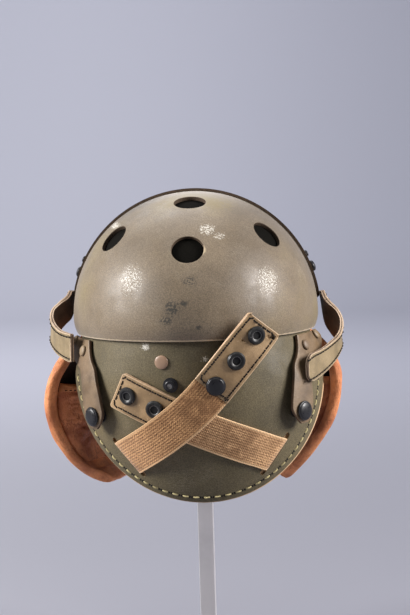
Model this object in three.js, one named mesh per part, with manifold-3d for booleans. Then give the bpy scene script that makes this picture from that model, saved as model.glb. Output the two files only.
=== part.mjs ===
// Tanker helmet of pressed fibre with leather ear flaps, resting on a plain display stand.
// Millimetres, +Z up, +Y the way the wearer faces. The origin is the middle of the stand's underside.
// Levels inside the helmet group are measured from the lower rim of the crown.
import * as THREE from 'three';
import Module from 'manifold-3d';
import { mergeVertices } from 'three/addons/utils/BufferGeometryUtils.js';

const wasm = await Module();
wasm.setup();

// Driving dimensions: crown and front layer
const CROWN_WIDTH = 200;
const CROWN_LENGTH = 232;
const DOME_HEIGHT = 100;
const SKIRT_HEIGHT = 13;
const SKIRT_DRAW_IN = 3;
const CROWN_WALL = 3;
const CLEARANCE = 0.3;
const BROW_WALL = 2.2;
const BROW_EDGE_SETBACK = 5;
const BROW_SIDE_LEVEL = 23;
const BROW_CORNER = 14;
const BROW_FRONT_LEVEL = 4;
const VENT_DIAMETER = 25.4;

// Driving dimensions: fasteners
const SNAP_CAP = { diameter: 15.5, height: 3.2 };
const SNAP_SOCKET = { diameter: 14.6, height: 2.4, bore: 6.4 };
const SNAP_STUD = { diameter: 12, height: 3.8, post: 8 };
const GUARD_RIVET = { diameter: 11, height: 1.8 };
const TAB_RIVET = { diameter: 8.5, height: 2.4 };
const SHELL_SNAP = { diameter: 9, height: 3 };
const SHELL_RIVET = { diameter: 5.4, height: 1.6 };

// Driving dimensions: neck guard
const GUARD_DROP = 130;
const GUARD_TUCK_UNDER = 10;
const GUARD_CLEARANCE = 0.7;
const GUARD_FLARE = 10.3;
const GUARD_CURVE_IN = 27;
const GUARD_SWAY = 8;
const GUARD_WALL = 2.6;
const LINING_WALL = 1.2;
const LINING_OVERHANG = 1;
const GUARD_OUTLINE_RADIUS = 101;
const GUARD_OUTLINE_TOP = 94;
const SLOT_SPREAD = 116.8;
const SLOT_LEVEL = -94;
const SLOT_LENGTH = 40;
const SLOT_WIDTH = 4.2;
const SLOT_SLANT = 52;
const STUD_SPREAD = 35;
const STUD_LEVEL = -34;
const RIVET_SPREAD = 46;
const RIVET_LEVEL = -16;

// Driving dimensions: crossing straps
const STRAP_WIDTH = 30;
const WEBBING_THICKNESS = 2;
const TAB_THICKNESS = 4;
const SNAP_PITCH = 25.4;
const TAB_LEAD = 6;
const TAB_LENGTH = 68;
const WEBBING_TAIL = 9;
const LOWER_SNAP_ACROSS = -10.6;
const LOWER_SNAP_LEVEL = -62.4;
const LOWER_TAB_SEEN = 0.88;
const UPPER_TAB_END_LIFT = 18;
const LOWER_TAB_END_LIFT = 4.5;

// Driving dimensions: side tabs, goggle loops, ear flaps
const SIDE_TAB_THICKNESS = 3;
const SIDE_TAB_TOP = -2.2;
const SIDE_TAB_DROP = 67;
const SIDE_TAB_STAND_OFF = 6.4;
const SIDE_SNAP_LEVEL = -59.6;
const LOOP_BOW = 17.5;
const LOOP_SETBACK = 75;
const LOOP_FALL = 55;
const LOOP_THICKNESS = 3.5;
const FLAP_DROP = 126;
const FLAP_REACH = 120.5;
const FLAP_DEPTH = 78;
const FLAP_WALL = 3;
const FLAP_ROLL = 9;
const POCKET_WALL = 2;
const POCKET_BULGE = 12;
const CUP_DIAMETER = 62;
const CUP_HEIGHT = 11;
const CUP_GAP = 0.9;
const POCKET_GAP = 0.6;

// Driving dimensions: stand
const RIM_HEIGHT = 270;
const STAND_OFFSET = 3;
const BASE_DIAMETER = 180;
const BASE_THICKNESS = 10;
const POST_SIZE = 12.7;
const REST_DIAMETER = 40;
const REST_HEIGHT = 9;
const REST_CROWNING = 3;

const finish = (color, roughness, metalness = 0) =>
  new THREE.MeshStandardMaterial({ color, roughness, metalness });
const OLIVE_FIBRE = finish(0x6b6349, 0.45);
const TAN_LINING = finish(0xc09a70, 0.85);
const WEBBING = finish(0xa8784f, 0.95);
const OLIVE_LEATHER = finish(0x8a7048, 0.7);
const BROWN_LEATHER = finish(0x9a5230, 0.6);
const DARK_LEATHER = finish(0x3a2418, 0.55);
const BLACK_ENAMEL = finish(0x1a1a1c, 0.3, 0.4);
const PAINTED_RIVET = finish(0x8a6c56, 0.5);
const STAND_PAINT = finish(0x9c9aa0, 0.5);

const UP = new THREE.Vector3(0, 1, 0);
const degrees = (angle) => THREE.MathUtils.degToRad(angle);
const mix = THREE.MathUtils.lerp;
const helmet = new THREE.Group();
const stand = new THREE.Group();

function add(group, name, geometry, material) {
  const mesh = new THREE.Mesh(geometry, material);
  mesh.name = name;
  group.add(mesh);
  return mesh;
}

// Smooth value of one column of a table, whose rows are ordered by the column at
function follow(rows, column, at) {
  const last = rows.length - 1;
  let index = 0;
  while (index < last - 1 && at > rows[index + 1].at) index += 1;
  const slope = (k) => {
    const before = rows[Math.max(0, k - 1)];
    const after = rows[Math.min(last, k + 1)];
    return (after[column] - before[column]) / (after.at - before.at);
  };
  const [from, to] = [rows[index], rows[index + 1]];
  const span = to.at - from.at;
  const t = THREE.MathUtils.clamp((at - from.at) / span, 0, 1);
  const rise = slope(index) * span;
  const fall = slope(index + 1) * span;
  const swing = to[column] - from[column];
  return from[column] + t * (rise + t * (3 * swing - 2 * rise - fall + t * (rise + fall - 2 * swing)));
}

// Geometry from points and triangles, turned right side out
function solidFrom(points, triangles) {
  let volume = 0;
  const edge = new THREE.Vector3();
  for (const [a, b, c] of triangles) volume += points[a].dot(edge.crossVectors(points[b], points[c]));
  const faces = volume < 0 ? triangles.map(([a, b, c]) => [a, c, b]) : triangles;
  const geometry = new THREE.BufferGeometry().setFromPoints(points);
  geometry.setIndex(faces.flat());
  geometry.computeVertexNormals();
  return geometry;
}

// Closed solid through rings of points, from a first pole to a last one
function throughRings(rings, firstPole, lastPole) {
  const around = rings[0].length;
  const points = [firstPole, ...rings.flat(), lastPole];
  const triangles = [];
  const at = (ring, k) => 1 + ring * around + (k % around);
  for (let k = 0; k < around; k += 1) {
    triangles.push([0, at(0, k), at(0, k + 1)]);
    for (let ring = 0; ring < rings.length - 1; ring += 1) {
      triangles.push([at(ring, k), at(ring + 1, k), at(ring + 1, k + 1)]);
      triangles.push([at(ring, k), at(ring + 1, k + 1), at(ring, k + 1)]);
    }
    triangles.push([points.length - 1, at(rings.length - 1, k + 1), at(rings.length - 1, k)]);
  }
  return solidFrom(points, triangles);
}

const evenly = (steps) => Array.from({ length: steps + 1 }, (_, k) => k / steps);

// Unit normal of a surface, on the side from which u runs right and v runs down
function normalOf(surface, u, v) {
  const reach = 0.002;
  const along = surface(u + reach, v).sub(surface(u - reach, v));
  const down = surface(u, v + reach).sub(surface(u, v - reach));
  return down.cross(along).normalize();
}

// Closed solid between two faces that lie off one surface by their lifts, in the columns and rows given
function sheet(surface, columns, rows, outerLift, innerLift) {
  const lifted = (lift) => rows.map((v) => columns.map((u) => {
    const height = typeof lift === 'function' ? lift(u, v) : lift;
    return surface(u, v).addScaledVector(normalOf(surface, u, v), height);
  }));
  const points = [...lifted(outerLift), ...lifted(innerLift)].flat();
  const across = columns.length;
  const layer = across * rows.length;
  const triangles = [];
  const quad = (a, b, c, d) => triangles.push([a, b, c], [a, c, d]);
  for (let row = 0; row < rows.length - 1; row += 1) {
    for (let column = 0; column < across - 1; column += 1) {
      const a = row * across + column;
      quad(a, a + across, a + across + 1, a + 1);
      quad(layer + a, layer + a + 1, layer + a + across + 1, layer + a + across);
    }
  }
  const border = [];
  for (let k = 0; k < across - 1; k += 1) border.push(k);
  for (let k = 0; k < rows.length - 1; k += 1) border.push(k * across + across - 1);
  for (let k = across - 1; k > 0; k -= 1) border.push((rows.length - 1) * across + k);
  for (let k = rows.length - 1; k > 0; k -= 1) border.push(k * across);
  border.forEach((a, k) => {
    const b = border[(k + 1) % border.length];
    quad(a, b, layer + b, layer + a);
  });
  return solidFrom(points, triangles);
}

// The same geometry on the wearer's other side
function mirrored(geometry) {
  const copy = geometry.clone().scale(-1, 1, 1);
  const index = copy.getIndex();
  for (let k = 0; k < index.count; k += 3) {
    const kept = index.getX(k + 1);
    index.setX(k + 1, index.getX(k + 2));
    index.setX(k + 2, kept);
  }
  return copy;
}

function toManifold(geometry) {
  const bare = geometry.clone();
  bare.deleteAttribute('normal');
  bare.deleteAttribute('uv');
  const merged = mergeVertices(bare);
  const vertProperties = Float32Array.from(merged.attributes.position.array);
  const triVerts = Uint32Array.from(merged.getIndex().array);
  return new wasm.Manifold(new wasm.Mesh({ numProp: 3, vertProperties, triVerts }));
}

function fromManifold(solid) {
  const mesh = solid.getMesh();
  const geometry = new THREE.BufferGeometry();
  geometry.setAttribute('position', new THREE.BufferAttribute(Float32Array.from(mesh.vertProperties), 3));
  geometry.setIndex(new THREE.BufferAttribute(Uint32Array.from(mesh.triVerts), 1));
  geometry.computeVertexNormals();
  return geometry;
}

function cutAway(geometry, tools) {
  const whole = tools.reduce((solid, tool) => solid.subtract(toManifold(tool)), toManifold(geometry));
  return fromManifold(whole);
}

const keptInside = (geometry, tool) => fromManifold(toManifold(geometry).intersect(toManifold(tool)));

// Crown: half an ellipsoid over a short skirt that draws in to the rim
const ROUND_STEPS = 40;
const DOME_ANGLES = [79, 67, 54, 41, 30, 20, 10, 0];

function crownPoint(bearing, rise, inset) {
  const level = rise - SKIRT_HEIGHT;
  const share = level > 0 ? Math.sqrt(Math.max(0, 1 - (level / (DOME_HEIGHT - inset)) ** 2)) : 1;
  const drawIn = level < 0 ? SKIRT_DRAW_IN * (level / SKIRT_HEIGHT) ** 2 : 0;
  const halfWidth = (CROWN_WIDTH / 2 - inset) * share - drawIn;
  const halfLength = (CROWN_LENGTH / 2 - inset) * share - drawIn;
  return new THREE.Vector3(Math.sin(bearing) * halfWidth, -Math.cos(bearing) * halfLength, rise);
}

function crownRings(inset) {
  const domeRises = DOME_ANGLES.map((angle) => SKIRT_HEIGHT + (DOME_HEIGHT - inset) * Math.sin(degrees(angle)));
  return [...domeRises, SKIRT_HEIGHT / 2, 0].map((rise) =>
    Array.from({ length: ROUND_STEPS }, (_, k) => crownPoint((2 * Math.PI * k) / ROUND_STEPS, rise, inset)));
}

function domeShell(outerInset, wall) {
  const apex = (inset) => new THREE.Vector3(0, 0, SKIRT_HEIGHT + DOME_HEIGHT - inset);
  const rings = [...crownRings(outerInset), ...crownRings(outerInset + wall).reverse()];
  return throughRings(rings, apex(outerInset), apex(outerInset + wall));
}

// Direction straight out of the crown at a point above its widest level
function crownNormal(point) {
  return new THREE.Vector3(
    point.x / (CROWN_WIDTH / 2) ** 2,
    point.y / (CROWN_LENGTH / 2) ** 2,
    Math.max(0, point.z - SKIRT_HEIGHT) / DOME_HEIGHT ** 2,
  ).normalize();
}

// Vent holes: rises are shares of the dome's height, the same again to the front
const VENTS = [
  { bearing: 0, rise: 0.58 },
  { bearing: 0, rise: 0.93 },
  { bearing: 55, rise: 0.66 },
  { bearing: -55, rise: 0.66 },
];
const VENT_SIDES = 16;
const VENT_TOOL_DEPTH = 24;

function ventTools() {
  const bearings = VENTS.flatMap(({ bearing, rise }) => [{ bearing, rise }, { bearing: 180 - bearing, rise }]);
  return bearings.map(({ bearing, rise }) => {
    const place = crownPoint(degrees(bearing), SKIRT_HEIGHT + DOME_HEIGHT * rise, 0);
    const turn = new THREE.Quaternion().setFromUnitVectors(UP, crownNormal(place));
    const radius = VENT_DIAMETER / 2;
    const tool = new THREE.CylinderGeometry(radius, radius, VENT_TOOL_DEPTH, VENT_SIDES);
    return tool.applyQuaternion(turn).translate(place.x, place.y, place.z);
  });
}

// Front layer: what lies ahead of the rear edge, with a round lower corner at each side
function browSideOutline() {
  const far = CROWN_LENGTH;
  const top = SKIRT_HEIGHT + DOME_HEIGHT + far;
  const outline = new THREE.Shape();
  outline.moveTo(BROW_EDGE_SETBACK, top);
  outline.lineTo(BROW_EDGE_SETBACK, BROW_SIDE_LEVEL + BROW_CORNER);
  outline.absarc(BROW_EDGE_SETBACK + BROW_CORNER, BROW_SIDE_LEVEL + BROW_CORNER, BROW_CORNER,
    Math.PI, 1.5 * Math.PI, false);
  outline.lineTo(CROWN_LENGTH / 2, BROW_FRONT_LEVEL);
  outline.lineTo(far, BROW_FRONT_LEVEL);
  outline.lineTo(far, top);
  const prism = new THREE.ExtrudeGeometry(outline, { depth: 2 * CROWN_WIDTH, bevelEnabled: false, curveSegments: 6 });
  // The outline's x and y become the helmet's Y and Z
  const turn = new THREE.Matrix4().makeBasis(
    new THREE.Vector3(0, 1, 0), new THREE.Vector3(0, 0, 1), new THREE.Vector3(1, 0, 0));
  return prism.translate(0, 0, -CROWN_WIDTH).applyMatrix4(turn);
}

const vents = ventTools();
const SHELL_OUTSET = CLEARANCE + BROW_WALL;
add(helmet, 'crown', cutAway(domeShell(0, CROWN_WALL), vents), OLIVE_FIBRE);
add(helmet, 'brow_shell', cutAway(keptInside(domeShell(-SHELL_OUTSET, BROW_WALL), browSideOutline()), vents),
  OLIVE_FIBRE);

// Turned fasteners: profiles are radius and height pairs along the axis
const TURNED_STEPS = 12;
const turned = (pairs, steps = TURNED_STEPS) =>
  new THREE.LatheGeometry(pairs.map(([radius, height]) => new THREE.Vector2(radius, height)), steps);

function domedHead({ diameter, height }) {
  const radius = diameter / 2;
  return turned([[0, 0], [radius, 0], [radius, height * 0.35], [radius * 0.82, height * 0.75], [0, height]]);
}

function snapSocket({ diameter, height, bore }) {
  const [outer, inner] = [diameter / 2, bore / 2];
  const crest = (outer + inner) / 2;
  const section = [[inner, 0], [outer, 0], [outer, height * 0.35], [crest + 0.9, height], [crest - 0.6, height],
    [inner, height * 0.5], [inner, 0]];
  return turned(section);
}

function snapStud({ diameter, height, post }) {
  const [flange, neck] = [diameter / 2, post / 2];
  return turned([[0, 0], [flange, 0], [flange, height * 0.25], [neck * 0.85, height * 0.4], [neck, height * 0.8],
    [neck * 0.8, height], [0, height]]);
}

function seat(mesh, place, direction, gap = CLEARANCE) {
  mesh.position.copy(place).addScaledVector(direction, gap);
  mesh.quaternion.setFromUnitVectors(UP, direction);
  return mesh;
}

// How far the crown's flat faces lie inside its true curve
const FACET_SAG = 0.2;

const SIDES = [{ side: 'left', sign: -1 }, { side: 'right', sign: 1 }];

// Two fasteners on the rear edge of the front layer, each side; rises are shares of the dome's height
const SHELL_FASTENERS = [
  { name: 'shell_rivet', form: SHELL_RIVET, rise: 0.45, behind: 0.9 },
  { name: 'shell_snap', form: SHELL_SNAP, rise: 0.345, behind: 1.1 },
];
for (const { side, sign } of SIDES) {
  for (const { name, form, rise, behind } of SHELL_FASTENERS) {
    const ahead = BROW_EDGE_SETBACK + form.diameter * behind;
    const share = Math.sqrt(1 - rise ** 2);
    const bearing = Math.PI / 2 + Math.asin(ahead / ((CROWN_LENGTH / 2 + SHELL_OUTSET) * share));
    const place = crownPoint(sign * bearing, SKIRT_HEIGHT + (DOME_HEIGHT + SHELL_OUTSET) * rise, -SHELL_OUTSET);
    const mesh = add(helmet, `${name}_${side}`, domedHead(form), BLACK_ENAMEL);
    seat(mesh, place, crownNormal(place), CLEARANCE - FACET_SAG);
  }
}

// Neck guard: at is a share of the drop, flare and tuck are shares of the flare and of the curve inwards
const GUARD_SECTIONS = [
  { at: -0.16, flare: -0.08, tuck: 0.03 },
  { at: -0.08, flare: -0.04, tuck: 0.02 },
  { at: 0, flare: 0, tuck: 0 },
  { at: 0.12, flare: 0.4, tuck: -0.01 },
  { at: 0.27, flare: 0.9, tuck: 0.03 },
  { at: 0.5, flare: 1, tuck: 0.18 },
  { at: 0.69, flare: 0.8, tuck: 0.41 },
  { at: 0.86, flare: 0.42, tuck: 0.66 },
  { at: 1.05, flare: -0.15, tuck: 1 },
];
const GUARD_HALF_WIDTH = CROWN_WIDTH / 2 - SKIRT_DRAW_IN - CROWN_WALL - GUARD_CLEARANCE;
const GUARD_HALF_LENGTH = CROWN_LENGTH / 2 - SKIRT_DRAW_IN - CROWN_WALL - GUARD_CLEARANCE;
const GUARD_SIDE_BEARING = 84;

const guardHalfWidth = (level) => GUARD_HALF_WIDTH + GUARD_FLARE * follow(GUARD_SECTIONS, 'flare', -level / GUARD_DROP);
const guardSway = (level) => GUARD_SWAY * Math.max(0, -level / GUARD_DROP);

function guardPoint(bearing, level) {
  const halfLength = GUARD_HALF_LENGTH - GUARD_CURVE_IN * follow(GUARD_SECTIONS, 'tuck', -level / GUARD_DROP);
  return new THREE.Vector3(
    Math.sin(bearing) * guardHalfWidth(level) + guardSway(level), -Math.cos(bearing) * halfLength, level);
}

// The guard's surface by distance across and level, with its normal
function onGuard(across, level) {
  const surface = (u, v) => guardPoint(Math.asin(u / guardHalfWidth(-v)), -v);
  return { place: surface(across, -level), normal: normalOf(surface, across, -level) };
}

// Rounded outline of the guard, seen from behind, grown by an amount
function guardOutlinePrism(grow) {
  const radius = GUARD_OUTLINE_RADIUS + grow;
  const centreLevel = GUARD_OUTLINE_RADIUS - GUARD_DROP;
  const outline = new THREE.Shape();
  const swayed = (across, level) => [across + guardSway(level), level];
  outline.moveTo(GUARD_OUTLINE_TOP + grow, 2 * GUARD_TUCK_UNDER);
  for (const turn of evenly(30)) {
    const angle = -Math.PI * turn;
    outline.lineTo(...swayed(radius * Math.cos(angle), centreLevel + radius * Math.sin(angle)));
  }
  outline.lineTo(-GUARD_OUTLINE_TOP - grow, 2 * GUARD_TUCK_UNDER);
  const prism = new THREE.ExtrudeGeometry(outline, { depth: CROWN_LENGTH, bevelEnabled: false });
  return prism.rotateX(Math.PI / 2);
}

function slotTools() {
  return SIDES.map(({ sign }) => {
    const { place, normal } = onGuard(sign * SLOT_SPREAD / 2, SLOT_LEVEL);
    const tool = new THREE.BoxGeometry(SLOT_LENGTH, SLOT_WIDTH, VENT_TOOL_DEPTH);
    const [stepAcross, stepUp] = [sign * Math.cos(degrees(SLOT_SLANT)), Math.sin(degrees(SLOT_SLANT))];
    const ahead = onGuard(sign * SLOT_SPREAD / 2 + stepAcross, SLOT_LEVEL + stepUp).place;
    const long = ahead.sub(onGuard(sign * SLOT_SPREAD / 2 - stepAcross, SLOT_LEVEL - stepUp).place).normalize();
    const wide = new THREE.Vector3().crossVectors(normal, long);
    tool.applyMatrix4(new THREE.Matrix4().makeBasis(long, wide, normal));
    return tool.translate(place.x, place.y, place.z);
  });
}

const GUARD_COLUMNS = 22;
const GUARD_ROWS = [-GUARD_TUCK_UNDER / GUARD_DROP, 0, 0.11, 0.23, 0.37, 0.51, 0.65, 0.78, 0.9, 1.03];

function guardLayer(depth, wall, grow) {
  const surface = (u, v) => guardPoint(degrees(GUARD_SIDE_BEARING) * (2 * u - 1), -GUARD_DROP * v);
  const layer = sheet(surface, evenly(GUARD_COLUMNS), GUARD_ROWS, -depth, -depth - wall);
  return cutAway(keptInside(layer, guardOutlinePrism(grow)), slotTools());
}
add(helmet, 'neck_guard', guardLayer(0, GUARD_WALL, 0), OLIVE_FIBRE);
add(helmet, 'neck_guard_lining', guardLayer(GUARD_WALL + CLEARANCE, LINING_WALL, LINING_OVERHANG), TAN_LINING);

for (const { side, sign } of SIDES) {
  const rivet = onGuard(sign * RIVET_SPREAD / 2, RIVET_LEVEL);
  seat(add(helmet, `guard_rivet_${side}`, domedHead(GUARD_RIVET), PAINTED_RIVET), rivet.place, rivet.normal);
  const stud = onGuard(sign * STUD_SPREAD / 2, STUD_LEVEL);
  seat(add(helmet, `guard_stud_${side}`, snapStud(SNAP_STUD), BLACK_ENAMEL), stud.place, stud.normal);
}

// Crossing straps: each comes out of one slot and runs to a leather tab with three snap places.
// The first snap place is measured on the guard, and lifts are of the strap's middle off the guard. Seen is
// the share of a tab's length that shows from behind, because the guard curves away under it
const SLOT_BEND = 2.4;
const WEBBING_REST = CLEARANCE + WEBBING_THICKNESS / 2;
const TAB_REST = CLEARANCE + TAB_THICKNESS / 2;
// The upper strap passes over the edge of the lower tab's first socket
const CROSSING_LIFT = 4 * CLEARANCE + TAB_THICKNESS + SNAP_SOCKET.height + WEBBING_THICKNESS / 2;
const STUD_LIFT = 2 * CLEARANCE + SNAP_STUD.height + TAB_THICKNESS / 2;
const STRAPS = [
  {
    name: 'upper', from: -1, snapAcross: STUD_SPREAD / 2, snapLevel: STUD_LEVEL, leave: 33, tabTurn: 48, seen: 1,
    lifts: [{ at: 0, lift: WEBBING_REST }, { at: 0.3, lift: CROSSING_LIFT }, { at: 0.65, lift: CROSSING_LIFT },
      { at: 1, lift: STUD_LIFT }],
    tabEndLift: UPPER_TAB_END_LIFT, capped: true,
  },
  {
    name: 'lower', from: 1, snapAcross: LOWER_SNAP_ACROSS, snapLevel: LOWER_SNAP_LEVEL, leave: 154, tabTurn: 153,
    seen: LOWER_TAB_SEEN,
    lifts: [{ at: 0, lift: WEBBING_REST }, { at: 0.5, lift: WEBBING_REST }, { at: 0.8, lift: WEBBING_REST },
      { at: 1, lift: TAB_REST }],
    tabEndLift: LOWER_TAB_END_LIFT, capped: false,
  },
];

// Point of a strap. What it stands off more than at rest doesn't spread it sideways or up
function strapPoint(across, level, lift) {
  const { place, normal } = onGuard(across, level);
  const spread = Math.max(0, lift - TAB_REST);
  const under = onGuard(across - normal.x * spread, level - normal.z * spread);
  return under.place.addScaledVector(under.normal, lift);
}

function strapParts({ name, from, snapAcross, snapLevel, leave, tabTurn, seen, lifts, tabEndLift, capped }) {
  const slot = new THREE.Vector2(from * SLOT_SPREAD / 2, SLOT_LEVEL);
  const leaveWay = new THREE.Vector2(Math.cos(degrees(leave)), Math.sin(degrees(leave)));
  const tabWay = new THREE.Vector2(Math.cos(degrees(tabTurn)), Math.sin(degrees(tabTurn)));
  const tabStart = new THREE.Vector2(snapAcross, snapLevel).addScaledVector(tabWay, -TAB_LEAD * seen);
  const slotEdge = new THREE.Vector2(-Math.cos(degrees(SLOT_SLANT)), -from * Math.sin(degrees(SLOT_SLANT)));
  const pull = slot.distanceTo(tabStart) / 3;
  const run = new THREE.CubicBezierCurve(
    slot, slot.clone().addScaledVector(leaveWay, pull), tabStart.clone().addScaledVector(tabWay, -pull), tabStart);

  // Webbing: up through the slot, then along the guard to the tab
  const track = [
    new THREE.Vector3(slot.x, slot.y, -WEBBING_TAIL),
    new THREE.Vector3(slot.x, slot.y, -WEBBING_TAIL / 2),
    new THREE.Vector3(slot.x, slot.y, CLEARANCE),
  ];
  const bendShare = SLOT_BEND / slot.distanceTo(tabStart);
  const endShare = 1 - CLEARANCE / slot.distanceTo(tabStart);
  for (const step of evenly(8)) {
    const share = mix(bendShare, endShare, step);
    const spot = run.getPoint(share);
    track.push(new THREE.Vector3(spot.x, spot.y, follow(lifts, 'lift', share)));
  }
  const middle = new THREE.CatmullRomCurve3(track, false, 'centripetal');
  const slotPart = 3 / (track.length - 1);
  const webbing = (u, v) => {
    const spot = middle.getPoint(THREE.MathUtils.clamp(v, 0, 1));
    const outside = THREE.MathUtils.clamp((v - slotPart) / (1 - slotPart), 0.001, 0.999);
    const way = run.getTangent(outside);
    const square = new THREE.Vector2(-way.y, way.x);
    const edge = slotEdge.clone().lerp(square, THREE.MathUtils.smoothstep(outside, 0.06, 0.4)).normalize();
    const side = (u - 0.5) * STRAP_WIDTH;
    return strapPoint(spot.x + edge.x * side, spot.y + edge.y * side, spot.z);
  };
  const half = WEBBING_THICKNESS / 2;
  add(helmet, `webbing_${name}`, sheet(webbing, evenly(3), evenly(18), half, -half), WEBBING);

  // Leather tab: straight, its far end standing off
  const startLift = lifts[lifts.length - 1].lift;
  const tab = (u, v) => {
    const side = (u - 0.5) * STRAP_WIDTH;
    const along = v * TAB_LENGTH * seen;
    return strapPoint(
      tabStart.x + tabWay.x * along - tabWay.y * side, tabStart.y + tabWay.y * along + tabWay.x * side,
      mix(startLift, tabEndLift, Math.max(0, v) ** 1.3));
  };
  const halfTab = TAB_THICKNESS / 2;
  add(helmet, `strap_tab_${name}`, sheet(tab, evenly(3), evenly(10), halfTab, -halfTab), OLIVE_LEATHER);

  for (let snap = capped ? 0 : 1; snap < 3; snap += 1) {
    const v = (TAB_LEAD + snap * SNAP_PITCH) / TAB_LENGTH;
    const isCap = snap === 0;
    const part = isCap ? domedHead(SNAP_CAP) : snapSocket(SNAP_SOCKET);
    const mesh = add(helmet, isCap ? `strap_cap_${name}` : `strap_socket_${name}_${snap}`, part, BLACK_ENAMEL);
    seat(mesh, tab(0.5, v), normalOf(tab, 0.5, v), halfTab + CLEARANCE);
  }
}
STRAPS.forEach(strapParts);

// Side tabs: bearings of the two edges and their lifts as shares of the stand-off, by a share of the drop
const SIDE_TAB_SECTIONS = [
  { at: 0, rearward: 58.5, forward: 83, rearLift: 0, foreLift: 0.1 },
  { at: 0.1, rearward: 57, forward: 84, rearLift: 0.02, foreLift: 0.5 },
  { at: 0.22, rearward: 53.5, forward: 77, rearLift: 0.15, foreLift: 0.35 },
  { at: 0.36, rearward: 48, forward: 60.5, rearLift: 0.35, foreLift: 0.35 },
  { at: 0.8, rearward: 41.7, forward: 53.7, rearLift: 0.9, foreLift: 0.9 },
  { at: 0.92, rearward: 43.2, forward: 51.7, rearLift: 1, foreLift: 1 },
  { at: 1, rearward: 45.7, forward: 49.2, rearLift: 1, foreLift: 1 },
];
const SIDE_TAB_RIVETS = [{ at: 0.14, across: 0.2 }, { at: 0.06, across: 0.68 }];
const SIDE_TAB_REST = 3 * CLEARANCE + SIDE_TAB_THICKNESS / 2;

function sideTab(sign, side) {
  const column = (name, v) => follow(SIDE_TAB_SECTIONS, name, v);
  const surface = (u, v) => {
    const level = SIDE_TAB_TOP - v * SIDE_TAB_DROP;
    // Seen from outside, the rearward edge is on the right on the left side of the helmet
    const forwardShare = sign > 0 ? u : 1 - u;
    const bearing = sign * degrees(mix(column('rearward', v), column('forward', v), forwardShare));
    const lift = mix(column('rearLift', v), column('foreLift', v), forwardShare) * SIDE_TAB_STAND_OFF;
    const guard = (s, t) => guardPoint(s, -t);
    return guardPoint(bearing, level).addScaledVector(normalOf(guard, bearing, -level), SIDE_TAB_REST + lift);
  };
  const half = SIDE_TAB_THICKNESS / 2;
  add(helmet, `side_tab_${side}`, sheet(surface, evenly(3), evenly(10), half, -half), OLIVE_LEATHER);

  const snapShare = (SIDE_TAB_TOP - SIDE_SNAP_LEVEL) / SIDE_TAB_DROP;
  const cap = add(helmet, `side_tab_snap_${side}`, domedHead(SNAP_CAP), BLACK_ENAMEL);
  seat(cap, surface(0.5, snapShare), normalOf(surface, 0.5, snapShare), half + CLEARANCE);
  SIDE_TAB_RIVETS.forEach(({ at, across }, k) => {
    const u = sign > 0 ? across : 1 - across;
    const rivet = add(helmet, `side_tab_rivet_${side}_${k + 1}`, domedHead(TAB_RIVET), OLIVE_FIBRE);
    seat(rivet, surface(u, at), normalOf(surface, u, at), half + CLEARANCE);
  });

  // Stud on the guard under the snap, as high as the tab stands off there
  const under = column('rearLift', snapShare) * SIDE_TAB_STAND_OFF - CLEARANCE;
  const middle = surface(0.5, snapShare);
  const away = normalOf(surface, 0.5, snapShare);
  const stud = add(helmet, `side_tab_stud_${side}`, snapStud({ ...SNAP_STUD, height: under }), BLACK_ENAMEL);
  seat(stud, middle.addScaledVector(away, -half - under), away, -CLEARANCE);
}
SIDES.forEach(({ side, sign }) => sideTab(sign, side));

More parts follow.
